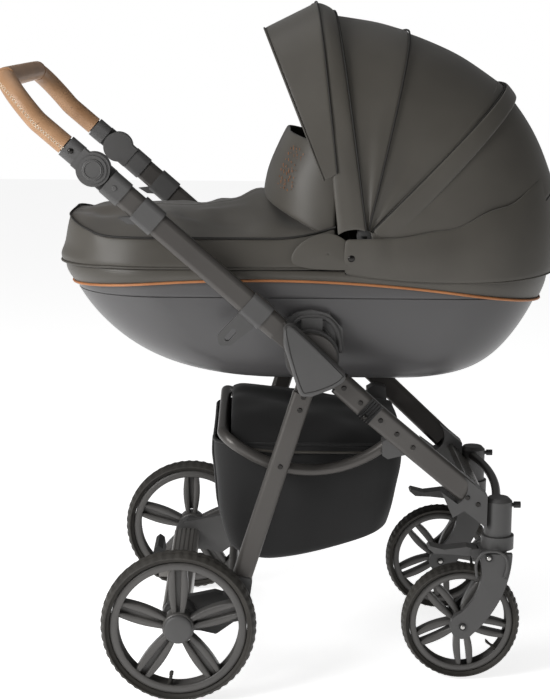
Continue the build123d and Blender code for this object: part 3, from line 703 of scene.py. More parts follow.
def bow_seams(front_half, middle_half, rear_half):
    """Piped seams along the bows, coloured near-black as painted shade in their creases."""
    seams = [
        ("hood_seam_brow", BROW_REAR, front_half + 0.001, "hood_front"),
        ("hood_seam_middle", MIDDLE_BOW, middle_half + 0.0012, "hood_middle"),
        ("hood_seam_rear", REAR_BOW, rear_half + 0.0032, "carrycot"),
    ]
    for name, bow, half, body in seams:
        piece = bead(name, bow_line(bow, half, 0.0012, 0.0008), 0.0016, "seam")
        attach(piece, body)


def hood_hinges():
    """Plastic plates inside the fabric that hold the bows' pins."""
    shapes = []
    for sign in SIDES.values():
        outward = Vector((0, sign, 0))
        centre = Vector((HOOD_PIVOT.x, sign * 0.192, HOOD_PIVOT.z))
        shapes.append(lathe(centre, [(0.0003, -0.003), (0.014, -0.003), (0.0165, -0.001), (0.0165, 0.004),
                                     (0.014, 0.006), (0.0003, 0.006)], 32, outward))
        drops = (0.0, 0.02, 0.04, 0.058)
        foot = [Vector((HOOD_PIVOT.x, sign * 0.193, HOOD_PIVOT.z - drop)) for drop in drops]
        shapes.append(cord_faces(foot, 0.013, 12, flat=0.3))
    hinges = join_shapes("hood_hinge_plates", shapes, "plastic")
    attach(hinges, "carrycot")
    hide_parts("hood_pivots")


# ---------------------------------------------------------------- tub's band, boot cover and wind flap

def piping_height(x):
    """The piping bows up along the tub's side and falls to the head end."""
    low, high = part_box("cot_band")
    share = min(1, max(0, (x - low.x) / (high.x - low.x)))
    return low.z + 0.0075 + 0.024 * math.sin(math.pi * share ** 0.9) - 0.022 * share ** 3


def band_point(low_point, high_point, z):
    """Place on the band's slope at a height."""
    low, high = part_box("cot_band")
    point = low_point.lerp(high_point, (z - low.z) / (high.z - low.z))
    return Vector((point.x, point.y, z))


def tub_band():
    """Padded band round the tub's rim, the tan piping under it, and the shell's lip behind it."""
    low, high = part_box("cot_band")
    bottoms = tub_ring(low.z, 0.0006)
    tops = tub_ring(high.z, 0.0006)
    rows = []
    for r in range(7):
        t = r / 6
        row = []
        for a, b in zip(bottoms, tops):
            bottom = piping_height(a.x)
            z = bottom + (high.z - 0.001 - bottom) * t
            place = band_point(a, b, z)
            out = Vector((place.x - 0.04, place.y * 1.6, 0)).normalized()
            lie = fabric_lie(place, 0.07, 0.0015, 5)
            row.append(place + out * (0.0045 * math.sin(math.pi * t) + lie))
        rows.append(row)
    band = cloth_rows("tub_band", rows, "leatherette", 0.0022, closed=True)
    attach(band, "carrycot")
    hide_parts("cot_band")
    line = [p + Vector((p.x - 0.04, p.y * 1.6, 0)).normalized() * 0.0014 for p in rows[0]]
    cord = bead("tan_piping", line, 0.0023, "tan_cord", closed=True)
    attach(cord, "carrycot")
    lip_rows = []
    for z in (low.z - 0.001, low.z + 0.012, low.z + 0.024, low.z + 0.040):
        rings = zip(tub_ring(low.z, -0.0026), tub_ring(high.z, -0.0040))
        lip_rows.append([band_point(a, b, z) for a, b in rings])
    lip = cloth_rows("shell_lip", lip_rows, "shell", 0.003, closed=True)
    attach(lip, "carrycot")


def boot_top(x):
    """Height of the boot cover along its middle."""
    low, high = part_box("boot_cover")
    stations = [(low.x, 0.738), (low.x + 0.012, 0.767), (low.x + 0.056, 0.781), (low.x + 0.125, 0.785),
                (low.x + 0.22, 0.783), (low.x + 0.285, 0.791), (low.x + 0.335, 0.813), (high.x, 0.790)]
    return between(stations, x)


def boot_plan():
    """Half of the cover's outline in plan, from the foot end's middle along the right side."""
    low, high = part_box("boot_cover")
    corner = 0.140
    start = low.x + 0.002 + corner
    half = high.y - 0.001
    plan = [Vector((low.x + 0.002, -k * (half - corner) / 6, 0)) for k in range(7)]
    for k in range(1, 14):
        a = math.radians(180 + 90 * k / 13)
        plan.append(Vector((start + corner * math.cos(a), -half + corner + corner * math.sin(a), 0)))
    end = high.x + 0.050
    plan += [Vector((start + (end - start) * k / 18, -half, 0)) for k in range(1, 19)]
    return plan


def boot_cover():
    """Fitted cover: a soft crowned top, a turned seam round it, and a side wall with a hem."""
    low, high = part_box("boot_cover")
    near = boot_plan()
    loop = [Vector((p.x, -p.y, 0)) for p in reversed(near)][:-1] + near
    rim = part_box("cot_band")[1].z
    seam_height = 0.748
    wall = []
    for r in range(8):
        t = r / 7
        row = []
        for p in loop:
            end = min(1, max(0, (p.x - high.x + 0.06) / 0.11))
            foot = min(1, max(0, (low.x + 0.09 - p.x) / 0.09))
            top = seam_height + 0.020 * end ** 2 + 0.026 * foot ** 1.5
            hem = rim + 0.001 - 0.003 * foot + 0.002 * end
            z = hem + (top - hem) * t
            ahead = Vector((-1 if p.x < low.x + 0.05 else 0, 0, 0))
            out = ahead * foot + Vector((0, math.copysign(1, p.y), 0)) * (1 - foot)
            roll = 0.0055 * math.exp(-((t - 0.12) / 0.16) ** 2) * (0.5 + foot)
            lie = fabric_lie((p.x, p.y, z), 0.10, 0.003, 21)
            shrink = 0.010 * t * t
            row.append(Vector((p.x, p.y, z)) + out * (roll + lie - shrink - 0.001))
        wall.append(row)
    side = cloth_rows("boot_wall", wall, "leatherette", 0.0022)
    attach(side, "carrycot")
    seam_line = wall[-1]
    top_rows = []
    count = 18
    for r in range(count + 1):
        t = r / count
        row = []
        for p in seam_line:
            spine = Vector((min(max(p.x, low.x + 0.11), high.x + 0.02), 0, 0))
            q = Vector((p.x, p.y, 0)).lerp(spine, t)
            crown = boot_top(q.x)
            share = 1 - (1 - t) ** 2.3
            z = p.z + (crown - p.z) * share
            toward_head = max(0, (q.x - low.x - 0.10) / 0.3)
            drag = 0.0045 * math.sin(q.y * 62 + q.x * 55) * math.sin(math.pi * min(1, t * 1.15))
            fold = 0.006 * max(0, toward_head) * math.sin(q.x * 120 + q.y * 24) * math.sin(math.pi * t) ** 2
            lie = fabric_lie((q.x, q.y, 0), 0.055, 0.0075, 31) * math.sin(math.pi * min(1, t + 0.08))
            row.append(Vector((q.x, q.y, z + drag * 0.6 + fold + lie)))
        top_rows.append(row)
    cover = cloth_rows("boot_top", top_rows, "leatherette", 0.003)
    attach(cover, "carrycot")
    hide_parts("boot_cover")
    # The turned seam's bead is near-black: painted shade in the crease between top and wall.
    seam = bead("boot_seam", [p + Vector((0, 0, 0.0008)) for p in seam_line], 0.0019, "seam")
    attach(seam, "carrycot")
    hem = bead("boot_hem", wall[0], 0.0022, "bound_edge")
    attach(hem, "carrycot")
    snap_tabs()


def snap_tabs():
    """Pointed tab on each side that snaps the cover to the hood."""
    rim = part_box("cot_band")[1].z
    for side, sign in SIDES.items():
        outline = [(-0.062, 0.066), (-0.034, 0.051), (-0.012, 0.030), (-0.012, 0.010), (-0.020, -0.001),
                   (-0.100, 0.002), (-0.130, 0.012), (-0.110, 0.048)]
        middle = (-0.062, 0.028)
        y = sign * (HOOD_HALF + 0.0070)
        x0, z0 = HOOD_PIVOT.x, rim

        def place(x, z, out=0.0):
            return Vector((x0 + x, y + sign * out, z0 + z))

        rows = []
        for t in (0, 0.12, 0.45, 0.8, 0.996):
            crown = 0.0035 * math.sin(math.pi * t / 2)
            rows.append([place(x * (1 - t) + middle[0] * t, z * (1 - t) + middle[1] * t, crown)
                         for x, z in outline])
        tab = cloth_rows(f"snap_tab_{side}", rows, "leatherette", 0.002, 2, closed=True)
        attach(tab, "carrycot")
        stud = dome(place(-0.025, 0.021, 0.0045), Vector((0, sign, 0)), 0.0062, 0.0036)
        head = join_shapes(f"snap_{side}", [stud], "rivet")
        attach(head, "carrycot")


def wind_flap():
    """Padded apron that stands at the boot cover's head end and wraps back to the hood on both sides."""
    low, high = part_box("wind_flap")
    rows = []
    for r in range(13):
        t = r / 12
        row = []
        for c in range(45):
            s = -1 + 2 * c / 44
            turn = s * math.pi / 2
            y = (high.y + 0.024) * math.copysign(abs(math.sin(turn)) ** 0.8, s)
            wrap = 0.112 * (1 - math.cos(turn)) ** 1.25
            foot = 0.804 - 0.062 * abs(s) ** 2.2
            crest = 0.917 - 0.034 * abs(s) ** 2.6
            z = foot + (crest - foot) * t
            x = low.x + 0.009 + 0.043 * t ** 1.15 * (1 - 0.5 * abs(s)) + wrap
            lie = fabric_lie((x, y, z), 0.06, 0.003, 41) * math.sin(math.pi * t)
            row.append(Vector((x + lie - 0.005 * math.sin(math.pi * t), y * (1 - 0.05 * t), z)))
        rows.append(row)
    flap = cloth_rows("wind_flap_pad", rows, "leatherette", 0.005, offset=0.0)
    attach(flap, "carrycot")
    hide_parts("wind_flap")
    random.seed(5)
    stitches = []
    for row in rows[4:11]:
        for c in range(8, 13):
            for _ in range(3):
                a = row[c] + Vector((-0.0035, random.uniform(-0.006, 0.006), random.uniform(-0.004, 0.004)))
                b = a + Vector((0, random.uniform(-0.005, 0.005), random.uniform(-0.005, 0.005)))
                stitches.append(cord_faces([a, (a + b) / 2 + Vector((-0.0004, 0, 0)), b], 0.0005, 5))
    mark = join_shapes("wind_flap_stitches", stitches, "tan_cord")
    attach(mark, "carrycot")


def mattress():
    """Crowned pad with round corners."""
    low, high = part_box("mattress")
    rows = []
    centre = (low + high) / 2
    for r in range(13):
        turn = -math.pi / 2 + math.pi * r / 12
        out = math.cos(turn) ** 0.35 if 0 < r < 12 else 0.0
        z = centre.z + (high.z - low.z) / 2 * signed_power(math.sin(turn), 0.7)
        row = []
        for c in range(64):
            a = 2 * math.pi * c / 64
            shape = 2 / 3.6
            x = signed_power(math.cos(a), shape) * (high.x - low.x - 0.008) / 2
            y = signed_power(math.sin(a), shape) * (high.y - low.y - 0.008) / 2
            row.append(Vector((centre.x + x * out, y * out, z)))
        rows.append(row)
    faces = grid_faces(len(rows), len(rows[0]), closed=True)
    pad = new_piece("sleeping_pad", [p for row in rows for p in row], faces, "lining")
    inflate(pad, 0.006)
    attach(pad, "carrycot")
    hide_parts("mattress")


def inflate(piece, cap, pressure=4.0, voxel=0.006):
    """Blows the pad up with a cloth simulation, no point further than the cap from its start."""
    start_frame = bpy.context.scene.frame_current
    remesh = piece.modifiers.new("even", "REMESH")
    remesh.mode = "VOXEL"
    remesh.voxel_size = voxel
    apply_modifiers(piece)
    before = [v.co.copy() for v in piece.data.vertices]
    cloth = piece.modifiers.new("blow", "CLOTH")
    cloth.settings.use_pressure = True
    cloth.settings.uniform_pressure_force = pressure
    cloth.settings.effector_weights.gravity = 0
    for step in range(1, 21):
        bpy.context.scene.frame_set(step)
    apply_modifiers(piece)
    for vertex, place in zip(piece.data.vertices, before):
        move = vertex.co - place
        if move.length > cap:
            vertex.co = place + move.normalized() * cap
    soften = piece.modifiers.new("soften", "SUBSURF")
    soften.levels = soften.render_levels = 1
    apply_modifiers(piece)
    shade_smooth(piece)
    bpy.context.scene.frame_set(start_frame)


# ---------------------------------------------------------------- handlebar

def handle_line(start=0.058, steps=9):
    """Middle line of the grip, from the right-hand joint over to the left."""
    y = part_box("handle_tube_left")[1].y - 0.011
    bend = TILT_PIVOT + Vector((-0.0877, 0, 0.0742))
    corner = TILT_PIVOT + Vector((-0.1427, 0, 0.1392))
    slope = (bend - TILT_PIVOT).normalized()
    first = TILT_PIVOT + slope * start
    knots = [Vector((p.x, -y, p.z)) for p in (first, bend, corner)]
    knots += [Vector((p.x, -p.y, p.z)) for p in reversed(knots)]
    return rounded(knots, [0.090, 0.075, 0.075, 0.090], steps)


def rounded(knots, radii, steps):
    """Straight runs with round corners."""
    made = [knots[0]]
    for before, corner, after, radius in zip(knots, knots[1:], knots[2:], radii):
        a = (before - corner).normalized()
        b = (after - corner).normalized()
        half = math.acos(max(-1, min(1, a.dot(b)))) / 2
        reach = radius / math.tan(half)
        centre = corner + (a + b).normalized() * (radius / math.sin(half))
        start, end = corner + a * reach - centre, corner + b * reach - centre
        turn = start.angle(end)
        for k in range(steps + 1):
            t = k / steps
            arm = (start * math.sin((1 - t) * turn) + end * math.sin(t * turn)) / math.sin(turn)
            made.append(centre + arm)
    made.append(knots[-1])
    return made


def handle_grip():
    """Leather sleeve with a raised, laced seam on its outer side."""
    line = smooth_line(handle_line(), 3)
    radius = (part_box("handle_grip")[1].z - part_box("handlebar_tube")[1].z) + 0.013
    sleeve = bead("grip_leather", line, radius, "tan", sides=24)
    soften = sleeve.modifiers.new("soften", "BEVEL")
    soften.width = 0.002
    soften.segments = 3
    soften.limit_method = "ANGLE"
    soften.angle_limit = math.radians(50)
    apply_modifiers(sleeve)
    shade_smooth(sleeve)
    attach(sleeve, "handlebar")
    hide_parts("handle_grip")
    shapes = []
    total = 0.0
    for a, b in zip(line, line[1:]):
        heading = (b - a).normalized()
        length = (b - a).length
        middle = Vector((TILT_PIVOT.x + 0.06, 0, TILT_PIVOT.z))
        away = Vector((a.x - middle.x, a.y, 0)) if abs(a.y) < 0.21 else Vector((-0.15, a.y * 4, -0.3))
        out = (away - heading * away.dot(heading)).normalized()
        over = heading.cross(out)
        while total < length:
            place = a + heading * total
            for lean in (-1, 1):
                left_end = place + heading * 0.0020 * lean - over * 0.0030
                right_end = place - heading * 0.0020 * lean + over * 0.0030
                knots = [left_end + out * (radius - 0.0004), place + out * (radius + 0.0008),
                         right_end + out * (radius - 0.0004)]
                shapes.append(cord_faces(knots, 0.0004, 5))
            total += 0.0052
        total -= length
    lacing = join_shapes("grip_lacing", shapes, "thread")
    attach(lacing, "handlebar")


def joint_hardware():
    """Screws and rings on the tilt joints."""
    for side, sign in SIDES.items():
        outward = Vector((0, sign, 0))
        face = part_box(f"tilt_button_{side}")
        edge = face[1].y if sign > 0 else face[0].y
        centre = Vector((TILT_PIVOT.x, edge, TILT_PIVOT.z))
        profile = [(0.0125, -0.001), (0.0125, 0.0007), (0.0135, 0.0010), (0.0145, 0.0007), (0.0145, -0.001)]
        ring = lathe(centre, profile, 40, outward)
        cap = join_shapes(f"button_ring_{side}", [ring], "plastic")
        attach(cap, f"tilt_button_{side}")
        slope = Vector((-0.0877, 0, 0.0742)).normalized()
        y = sign * 0.2612
        screw = TILT_PIVOT + slope * 0.045
        stud = dome(Vector((screw.x, y, screw.z)), outward, 0.0046, 0.0030)
        head = join_shapes(f"arm_screw_{side}", [stud], "rivet")
        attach(head, "handlebar")


# ---------------------------------------------------------------- wheels

def tyre(name, body, node, cad_seat):
    low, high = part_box(node)
    centre = (low + high) / 2
    radius = (high.z - low.z) / 2
    half = (high.y - low.y) / 2
    seat = cad_seat + 0.0006
    wall = radius - seat
    profile = [(seat, -0.62 * half), (seat + 0.0015, -0.74 * half), (seat + 0.0035, -0.80 * half),
               (seat + 0.0040, -0.86 * half), (seat + 0.0065, -0.96 * half), (seat + 0.35 * wall, -half),
               (seat + 0.58 * wall, -0.97 * half), (radius - 0.0052, -0.80 * half),
               (radius - 0.0036, -0.72 * half), (radius - 0.0022, -0.56 * half),
               (radius - 0.0012, -0.36 * half), (radius - 0.0020, -0.30 * half),
               (radius - 0.0006, -0.22 * half), (radius, 0)]
    profile += [(r, -y) for r, y in reversed(profile[:-1])]
    count = 216
    ribs = range(7, len(profile) - 7)

    def tread(i, k):
        if k not in ribs:
            return 0.0
        block = (i // 2 + (k > 13)) % 2
        return -0.0013 * block

    shape = lathe(centre, profile, count, ACROSS, tread)
    wide = len(profile)
    inner = [(i * wide + wide - 1, i * wide, ((i + 1) % count) * wide, ((i + 1) % count) * wide + wide - 1)
             for i in range(count)]
    piece = new_piece(name, shape[0], shape[1] + inner, "rubber")
    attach(piece, body)
    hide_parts(node)
    return centre


def spoke_shape(centre, turn, hub, opening, half):
    """One twin-ribbed petal: two curved rails with a recessed web between them."""
    shapes = []
    reach = opening + 0.004
    stations = 9
    for sign in (-1, 1):
        verts, faces = [], []
        for s in range(stations):
            t = s / (stations - 1)
            along = hub - 0.004 + (reach - hub + 0.004) * t
            belly = math.sin(math.pi * t)
            middle = sign * (0.0060 + 0.0026 * belly + 0.0030 * t)
            wide = 0.0038 + 0.0020 * belly
            deep = half * (0.88 - 0.22 * belly)
            ring = [(-wide, -deep), (-wide * 0.6, -deep - 0.0015), (wide * 0.6, -deep - 0.0015),
                    (wide, -deep), (wide, deep), (wide * 0.6, deep + 0.0015),
                    (-wide * 0.6, deep + 0.0015), (-wide, deep)]
            for across, y in ring:
                p = Vector((along, y, middle + across))
                verts.append(centre + Matrix.Rotation(-turn, 3, "Y") @ p)
        for s in range(stations - 1):
            for k in range(8):
                faces.append((s * 8 + k, s * 8 + (k + 1) % 8, (s + 1) * 8 + (k + 1) % 8, (s + 1) * 8 + k))
        faces.append(tuple(reversed(range(8))))
        faces.append(tuple((stations - 1) * 8 + k for k in range(8)))
        shapes.append((verts, faces))
    verts, faces = [], []
    for s in range(stations):
        t = 0.12 + 0.86 * s / (stations - 1)
        along = hub - 0.004 + (reach - hub + 0.004) * t
        wide = 0.0060 + 0.0026 * math.sin(math.pi * t) + 0.003 * t
        for across, y in ((-wide, -0.0022), (wide, -0.0022), (wide, 0.0022), (-wide, 0.0022)):
            p = Vector((along, y, across))
            verts.append(centre + Matrix.Rotation(-turn, 3, "Y") @ p)
    for s in range(stations - 1):
        for k in range(4):
            faces.append((s * 4 + k, s * 4 + (k + 1) % 4, (s + 1) * 4 + (k + 1) % 4, (s + 1) * 4 + k))
    if opening > 0.09:
        shapes.append((verts, faces))
    return shapes


def rim(name, body, node, centre, width, seat, opening, hub, first_angle, valve_angle):
    """Turned rim with a bright lip, five twin-ribbed petals, a domed hub and a valve."""
    half = width * 0.36
    profile = [(opening + 0.001, -half + 0.0045), (opening, -half + 0.001), (opening + 0.0012, -half),
               (opening + 0.0042, -half - 0.0006), (seat - 0.0042, -half - 0.0006),
               (seat - 0.0010, -half + 0.0003), (seat + 0.0002, -half + 0.002),
               (seat - 0.0006, -half + 0.005)]
    profile += [(r, -y) for r, y in reversed(profile)]
    profile += [(opening + 0.006, half - 0.009), (opening + 0.0066, 0), (opening + 0.006, -half + 0.009)]
    body_shape = lathe(centre, profile + profile[:1], 96)
    shapes = [body_shape]
    for k in range(5):
        shapes += spoke_shape(centre, math.radians(first_angle + 72 * k), hub, opening, half - 0.003)
    hub_half = half + 0.004
    crown = [(0.0002, -hub_half - 0.0002), (hub * 0.62, -hub_half - 0.0002), (hub * 0.86, -hub_half + 0.0008),
             (hub * 0.98, -hub_half + 0.003), (hub, -hub_half + 0.006)]
    crown += [(r, -y) for r, y in reversed(crown)]
    shapes.append(lathe(centre, crown, 48))
    piece = join_shapes(name, shapes, "wheel")
    crease = piece.modifiers.new("edges", "BEVEL")
    crease.width = 0.0005
    crease.segments = 2
    crease.limit_method = "ANGLE"
    crease.angle_limit = math.radians(40)
    apply_modifiers(piece)
    shade_smooth(piece)
    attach(piece, body)
    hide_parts(node)
    a = math.radians(valve_angle)
    inward = Vector((-math.cos(a), 0, -math.sin(a)))
    foot = centre - inward * (opening + 0.001)
    stem = [(0.0042, -0.002), (0.0040, 0.004), (0.0028, 0.007), (0.0028, 0.013), (0.0034, 0.0135),
            (0.0034, 0.019), (0.0024, 0.0200), (0.0003, 0.0202)]
    valve = join_shapes(f"{name}_valve", [lathe(foot, stem, 14, inward)], "rubber")
    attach(valve, body)


def wheels():
    for side, sign in SIDES.items():
        centre = tyre(f"rear_tyre_{side}", f"rear_wheel_{side}", f"rear_wheel_tyre_{side}", 0.111)
        rim(f"rear_rim_{side}", f"rear_wheel_{side}", f"rear_wheel_rim_{side}", centre,
            width=0.044, seat=0.111, opening=0.098, hub=0.026, first_angle=90, valve_angle=-98)
        outward = Vector((0, sign, 0))
        profile = [(0.0235, -0.004), (0.0235, 0.0022), (0.0222, 0.0042), (0.0190, 0.0052),
                   (0.0100, 0.0060), (0.0002, 0.0062)]
        cap_shape = lathe(centre + outward * 0.0198, profile, 48, outward)
        cap = join_shapes(f"hub_cap_{side}", [cap_shape], "plastic")
        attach(cap, f"rear_wheel_{side}")
        centre = tyre(f"front_tyre_{side}", f"front_wheel_{side}", f"front_wheel_tyre_{side}", 0.087)
        rim(f"front_rim_{side}", f"front_wheel_{side}", f"front_wheel_rim_{side}", centre,
            width=0.040, seat=0.087, opening=0.076, hub=0.017, first_angle=-84, valve_angle=-40)
        fork_screws(side, centre)


def fork_screws(side, wheel_centre):
    """Bright screws on both faces of the fork, each on a near-black ring and disc painted as the shade of its
    recess.
    """
    pivot = joint_place(f"fork_suspension_{side}")
    low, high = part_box(f"fork_{side}")
    shapes, recess_shades = [], []
    for spot in (Vector((pivot.x, 0, pivot.z)), Vector((wheel_centre.x, 0, wheel_centre.z))):
        for y, sign in ((low.y, -1), (high.y, 1)):
            outward = Vector((0, sign, 0))
            place = Vector((spot.x, y, spot.z))
            rim_line = [(0.0062, -0.0012), (0.0062, 0.0002), (0.0052, 0.0006), (0.0046, -0.0002),
                        (0.0003, -0.0002)]
            recess_shades.append(lathe(place, rim_line, 24, outward))
            shapes.append(dome(place, outward, 0.0040, 0.0020))
    # Black rings and floors round the screws: painted shade of the recesses.
    dark = join_shapes(f"fork_recess_shade_{side}", recess_shades, "black")
    heads = join_shapes(f"fork_screws_{side}", shapes, "screw")
    for piece, slot in ((dark, "black_plastic"), (heads, "steel")):
        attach(piece, f"fork_{side}")


def fork_shoulders():
    """Rounded cap over the top of each fork, where its spring sits."""
    for side in SIDES:
        low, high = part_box(f"fork_{side}")
        pivot = joint_place(f"fork_suspension_{side}")
        shapes = []
        for y in (low.y, high.y):
            knots = [(-0.019, -0.030), (-0.021, -0.004), (-0.010, 0.013), (0.010, 0.016), (0.026, 0.009),
                     (0.031, -0.008), (0.027, -0.030)]
            line = smooth_line([Vector((pivot.x + x, y, pivot.z - 0.004 + z)) for x, z in knots], 5)
            line = [p for p in line if p.z < high.z + 0.006]
            shapes.append(cord_faces(line, 0.0026, 10))
        caps = join_shapes(f"fork_shoulder_{side}", shapes, "plastic")
        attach(caps, f"fork_{side}")


# ---------------------------------------------------------------- basket

def basket_plan(t):
    """Rear end, front end, half width and corner of the bag at a share of its height."""
    low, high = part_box("basket_bag")
    sag = math.sin(math.pi * t)
    rear = low.x + 0.001 + 0.030 * (1 - t) ** 3
    front = high.x - 0.024 * (1 - t) ** 1.3 + 0.006 * sag
    half = high.y - 0.004 - 0.012 * (1 - t) ** 2 + 0.003 * sag
    return rear, front, half, 0.045


def basket():
    """Sagging bag under the hoop: rounded plan, belly at the front, and creases at the rear."""
    low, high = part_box("basket_bag")
    rows = []
    heights = [0.0, 0.012, 0.035, 0.08, 0.16, 0.28, 0.42, 0.56, 0.70, 0.84, 0.94, 1.0]
    for t in heights:
        rear, front, half, corner = basket_plan(t)
        ring = rounded_plan(rear, front, half, corner, 0, 8, 88)
        row = []
        for p in ring:
            share = (p.x - rear) / (front - rear)
            floor_z = low.z + 0.001 + 0.078 * max(0, share - 0.22) ** 1.6 + 0.10 * max(0, 0.2 - share) ** 1.3
            top_z = high.z - 0.001
            z = floor_z + (top_z - floor_z) * t
            inward = 1 - 0.10 * max(0, 0.03 - t) / 0.03
            slack = math.sin(math.pi * t)
            crease = 0.0045 * math.sin(36 * p.y + z * 30) * slack * (1 if share < 0.15 else 0.25)
            lie = fabric_lie((p.x, p.y, z), 0.07, 0.008, 51) * slack
            out = Vector(((p.x - (rear + front) / 2) / 0.16, p.y / 0.18, 0))
            out = out.normalized() if out.length else out
            place = Vector(((p.x - 0.05) * inward + 0.05, p.y * inward, z))
            row.append(place + out * (crease + lie - 0.003))
        rows.append(row)
    wide = len(rows[0])
    points = [p for row in rows for p in row]
    faces = grid_faces(len(rows), wide, closed=True)
    middle = sum(rows[0], Vector()) / wide
    inner = [p.lerp(middle, 0.5) for p in rows[0]]
    base = len(points)
    points += inner + [middle]
    faces += [((c + 1) % wide, c, base + c, base + (c + 1) % wide) for c in range(wide)]
    faces += [(base + (c + 1) % wide, base + c, base + wide) for c in range(wide)]
    bag = new_piece("basket_cloth", points, faces, "basket")
    thicken(bag, 0.0022, 1)
    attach(bag, "chassis")
    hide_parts("basket_bag")
    rim_cord = bead("basket_rim", rows[-1], 0.0026, "basket", closed=True)
    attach(rim_cord, "chassis")
    corner_line = [row[66] + Vector((-0.001, -0.001, 0)) for row in rows[2:]]
    zip_line = bead("basket_rear_zip", smooth_line(corner_line, 3), 0.0022, "black")
    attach(zip_line, "chassis")


def lid_top(x):
    """Crown height of the basket's lid along the middle."""
    low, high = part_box("basket_lid")
    stations = [(low.x, 0.448), (low.x + 0.010, 0.4565), (low.x + 0.075, 0.4505), (low.x + 0.185, 0.4335),
                (low.x + 0.28, 0.4215), (high.x + 0.2, 0.400)]
    return between(stations, x, eased=False)


def basket_lid():
    """Soft domed lid with a piped edge, and the ribbed straps that hold it to the legs."""
    bag_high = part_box("basket_bag")[1]
    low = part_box("basket_lid")[0]
    front = bag_high.x - 0.003
    rear = low.x + 0.002
    rows = []
    for r in range(23):
        t = r / 22
        x = rear + (front - rear) * t
        crown = lid_top(x)
        row = []
        for c in range(33):
            s = -1 + 2 * c / 32
            half = bag_high.y - 0.001
            edge = 0.394 + 0.010 * max(0, 1 - t * 3.2) ** 1.5
            drop = abs(s) ** 3.4
            z = crown + (edge - crown) * drop
            lie = fabric_lie((x, s * half, 0), 0.06, 0.006, 61) * (1 - drop)
            row.append(Vector((x, s * half, z + lie - 0.002)))
        rows.append(row)
    lid = cloth_rows("basket_cover", rows, "basket", 0.0025)
    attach(lid, "chassis")
    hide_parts("basket_lid")
    for side, column in (("right", 0), ("left", 32)):
        edge = bead(f"lid_edge_{side}", [row[column] for row in rows], 0.0024, "bound_edge")
        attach(edge, "chassis")
    leg_straps()


LEG_SLOPE = -41.8


def leg_straps():
    """Ribbed band over each front leg, with a snap."""
    slope = math.radians(LEG_SLOPE)
    along = Vector((math.cos(slope), 0, math.sin(slope)))
    upright = Vector((-math.sin(slope), 0, math.cos(slope)))
    centre = FOLD_PIVOT + along * 0.126
    for side, sign in SIDES.items():
        y = sign * 0.2583
        shapes = []
        for k in range(5):
            offset = -0.0096 + 0.0048 * k
            rib = centre + along * offset + Vector((0, y + sign * 0.0006, 0))
            ends = [rib + upright * height for height in (-0.0195, 0, 0.0195)]
            shapes.append(cord_faces(ends, 0.0023, 8, flat=0.6))
        strap = join_shapes(f"leg_strap_{side}", shapes, "basket")
        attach(strap, "chassis")
        spot = centre - upright * 0.012 + Vector((0, y + sign * 0.0012, 0))
        snap = join_shapes(f"leg_snap_{side}", [dome(spot, Vector((0, sign, 0)), 0.0042, 0.0026)], "rivet")
        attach(snap, "chassis")


# ---------------------------------------------------------------- small frame details

def hub_inset_line():
    """Fine raised line inside the edge of each hub cover, coloured near-black as painted shade of an inset
    groove.
    """
    low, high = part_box("hub_covers")
    knots = [(-0.036, 0.060), (-0.039, 0.030), (-0.018, -0.040), (-0.005, -0.047), (0.028, -0.036),
             (0.046, -0.023), (0.040, -0.012)]
    for side, sign in SIDES.items():
        y = (low.y if sign < 0 else high.y) + sign * 0.0001
        places = [Vector((FOLD_PIVOT.x + x, y, FOLD_PIVOT.z + z)) for x, z in knots]
        line = smooth_line(places, 6, closed=True)
        piece = bead(f"hub_line_{side}", line, 0.0006, "seam", closed=True, sides=6)
        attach(piece, "chassis")


def adapter_arches():
    """Raised rim and inner step of the arched plates that carry the tub."""
    low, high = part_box("cot_adapters")
    for side, sign in SIDES.items():
        y = sign * 0.2102
        centre = Vector(((low.x + high.x) / 2, y, low.z + 0.006))
        for label, wide, tall, radius in (("rim", 0.043, 0.059, 0.0042), ("step", 0.030, 0.043, 0.0024)):
            knots = []
            for k in range(17):
                a = math.pi * k / 16
                along, up = wide * signed_power(math.cos(a), 0.75), tall * max(0, math.sin(a)) ** 0.75
                knots.append(centre + Vector((along, 0, up)))
            arch = bead(f"adapter_{label}_{side}", smooth_line(knots, 3), radius, "plastic", sides=10)
            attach(arch, "carrycot")


# ---------------------------------------------------------------- light, floor and camera

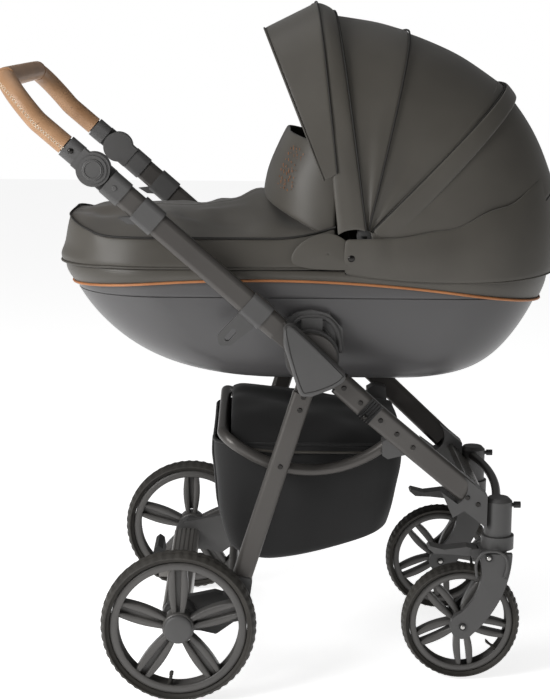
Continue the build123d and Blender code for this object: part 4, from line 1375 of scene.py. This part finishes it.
def studio():
    floor = bpy.data.meshes.new("floor")
    size = 9.0
    corners = [(-size, -size, 0), (size, -size, 0), (size, size, 0), (-size, size, 0)]
    floor.from_pydata(corners, [], [(0, 1, 2, 3)])
    ground = bpy.data.objects.new("floor", floor)
    ground.location.z = -0.0005
    bpy.context.scene.collection.objects.link(ground)
    pale = bpy.data.materials.new("pale_floor")
    pale.use_nodes = True
    shader = pale.node_tree.nodes["Principled BSDF"]
    shader.inputs["Base Color"].default_value = (0.93, 0.93, 0.93, 1)
    shader.inputs["Roughness"].default_value = 0.85
    shader.inputs["Emission Color"].default_value = (1, 1, 1, 1)
    shader.inputs["Emission Strength"].default_value = 0.78
    floor.materials.append(pale)
    world = bpy.data.worlds.new("studio")
    world.use_nodes = True
    background = world.node_tree.nodes["Background"]
    background.inputs["Color"].default_value = (1, 1, 1, 1)
    seen = world.node_tree.nodes.new("ShaderNodeLightPath")
    level = world.node_tree.nodes.new("ShaderNodeMapRange")
    level.inputs["To Min"].default_value = 0.15
    level.inputs["To Max"].default_value = 1.0
    world.node_tree.links.new(seen.outputs["Is Camera Ray"], level.inputs["Value"])
    world.node_tree.links.new(level.outputs["Result"], background.inputs["Strength"])
    bpy.context.scene.world = world
    lamps = [("key", (-1.6, -1.4, 1.35), 1.0, 38), ("fill", (2.2, -3.0, 0.9), 1.8, 2),
             ("top", (-0.8, 0.0, 3.2), 2.4, 20)]
    for name, place, width, power in lamps:
        lamp = bpy.data.lights.new(name, "AREA")
        lamp.size = width
        lamp.energy = power
        holder = bpy.data.objects.new(name, lamp)
        holder.location = place
        holder.rotation_mode = "QUATERNION"
        holder.rotation_quaternion = (Vector((0, 0, 0.6)) - holder.location).to_track_quat("-Z", "Y")
        bpy.context.scene.collection.objects.link(holder)
    bpy.context.scene.view_settings.view_transform = "Standard"


def camera():
    pitch, yaw, roll = 0.1885, 0.0116, 0.0096
    lens = bpy.data.cameras.new("camera")
    lens.lens = 88.95
    lens.sensor_width = 36
    holder = bpy.data.objects.new("camera", lens)
    forward = Vector((math.sin(yaw) * math.cos(pitch), math.cos(yaw) * math.cos(pitch), -math.sin(pitch)))
    right = Vector((math.cos(yaw), -math.sin(yaw), 0))
    up = right.cross(forward)
    turned_right = math.cos(roll) * right + math.sin(roll) * up
    turned_up = -math.sin(roll) * right + math.cos(roll) * up
    rotation = Matrix((turned_right, turned_up, -forward)).transposed()
    holder.matrix_world = Matrix.Translation((-0.0423, -2.966, 1.0962)) @ rotation.to_4x4()
    bpy.context.scene.collection.objects.link(holder)
    bpy.context.scene.camera = holder


camera()
studio()
hood()
tub_band()
boot_cover()
wind_flap()
mattress()
handle_grip()
joint_hardware()
wheels()
fork_shoulders()
basket()
basket_lid()
hub_inset_line()
adapter_arches()
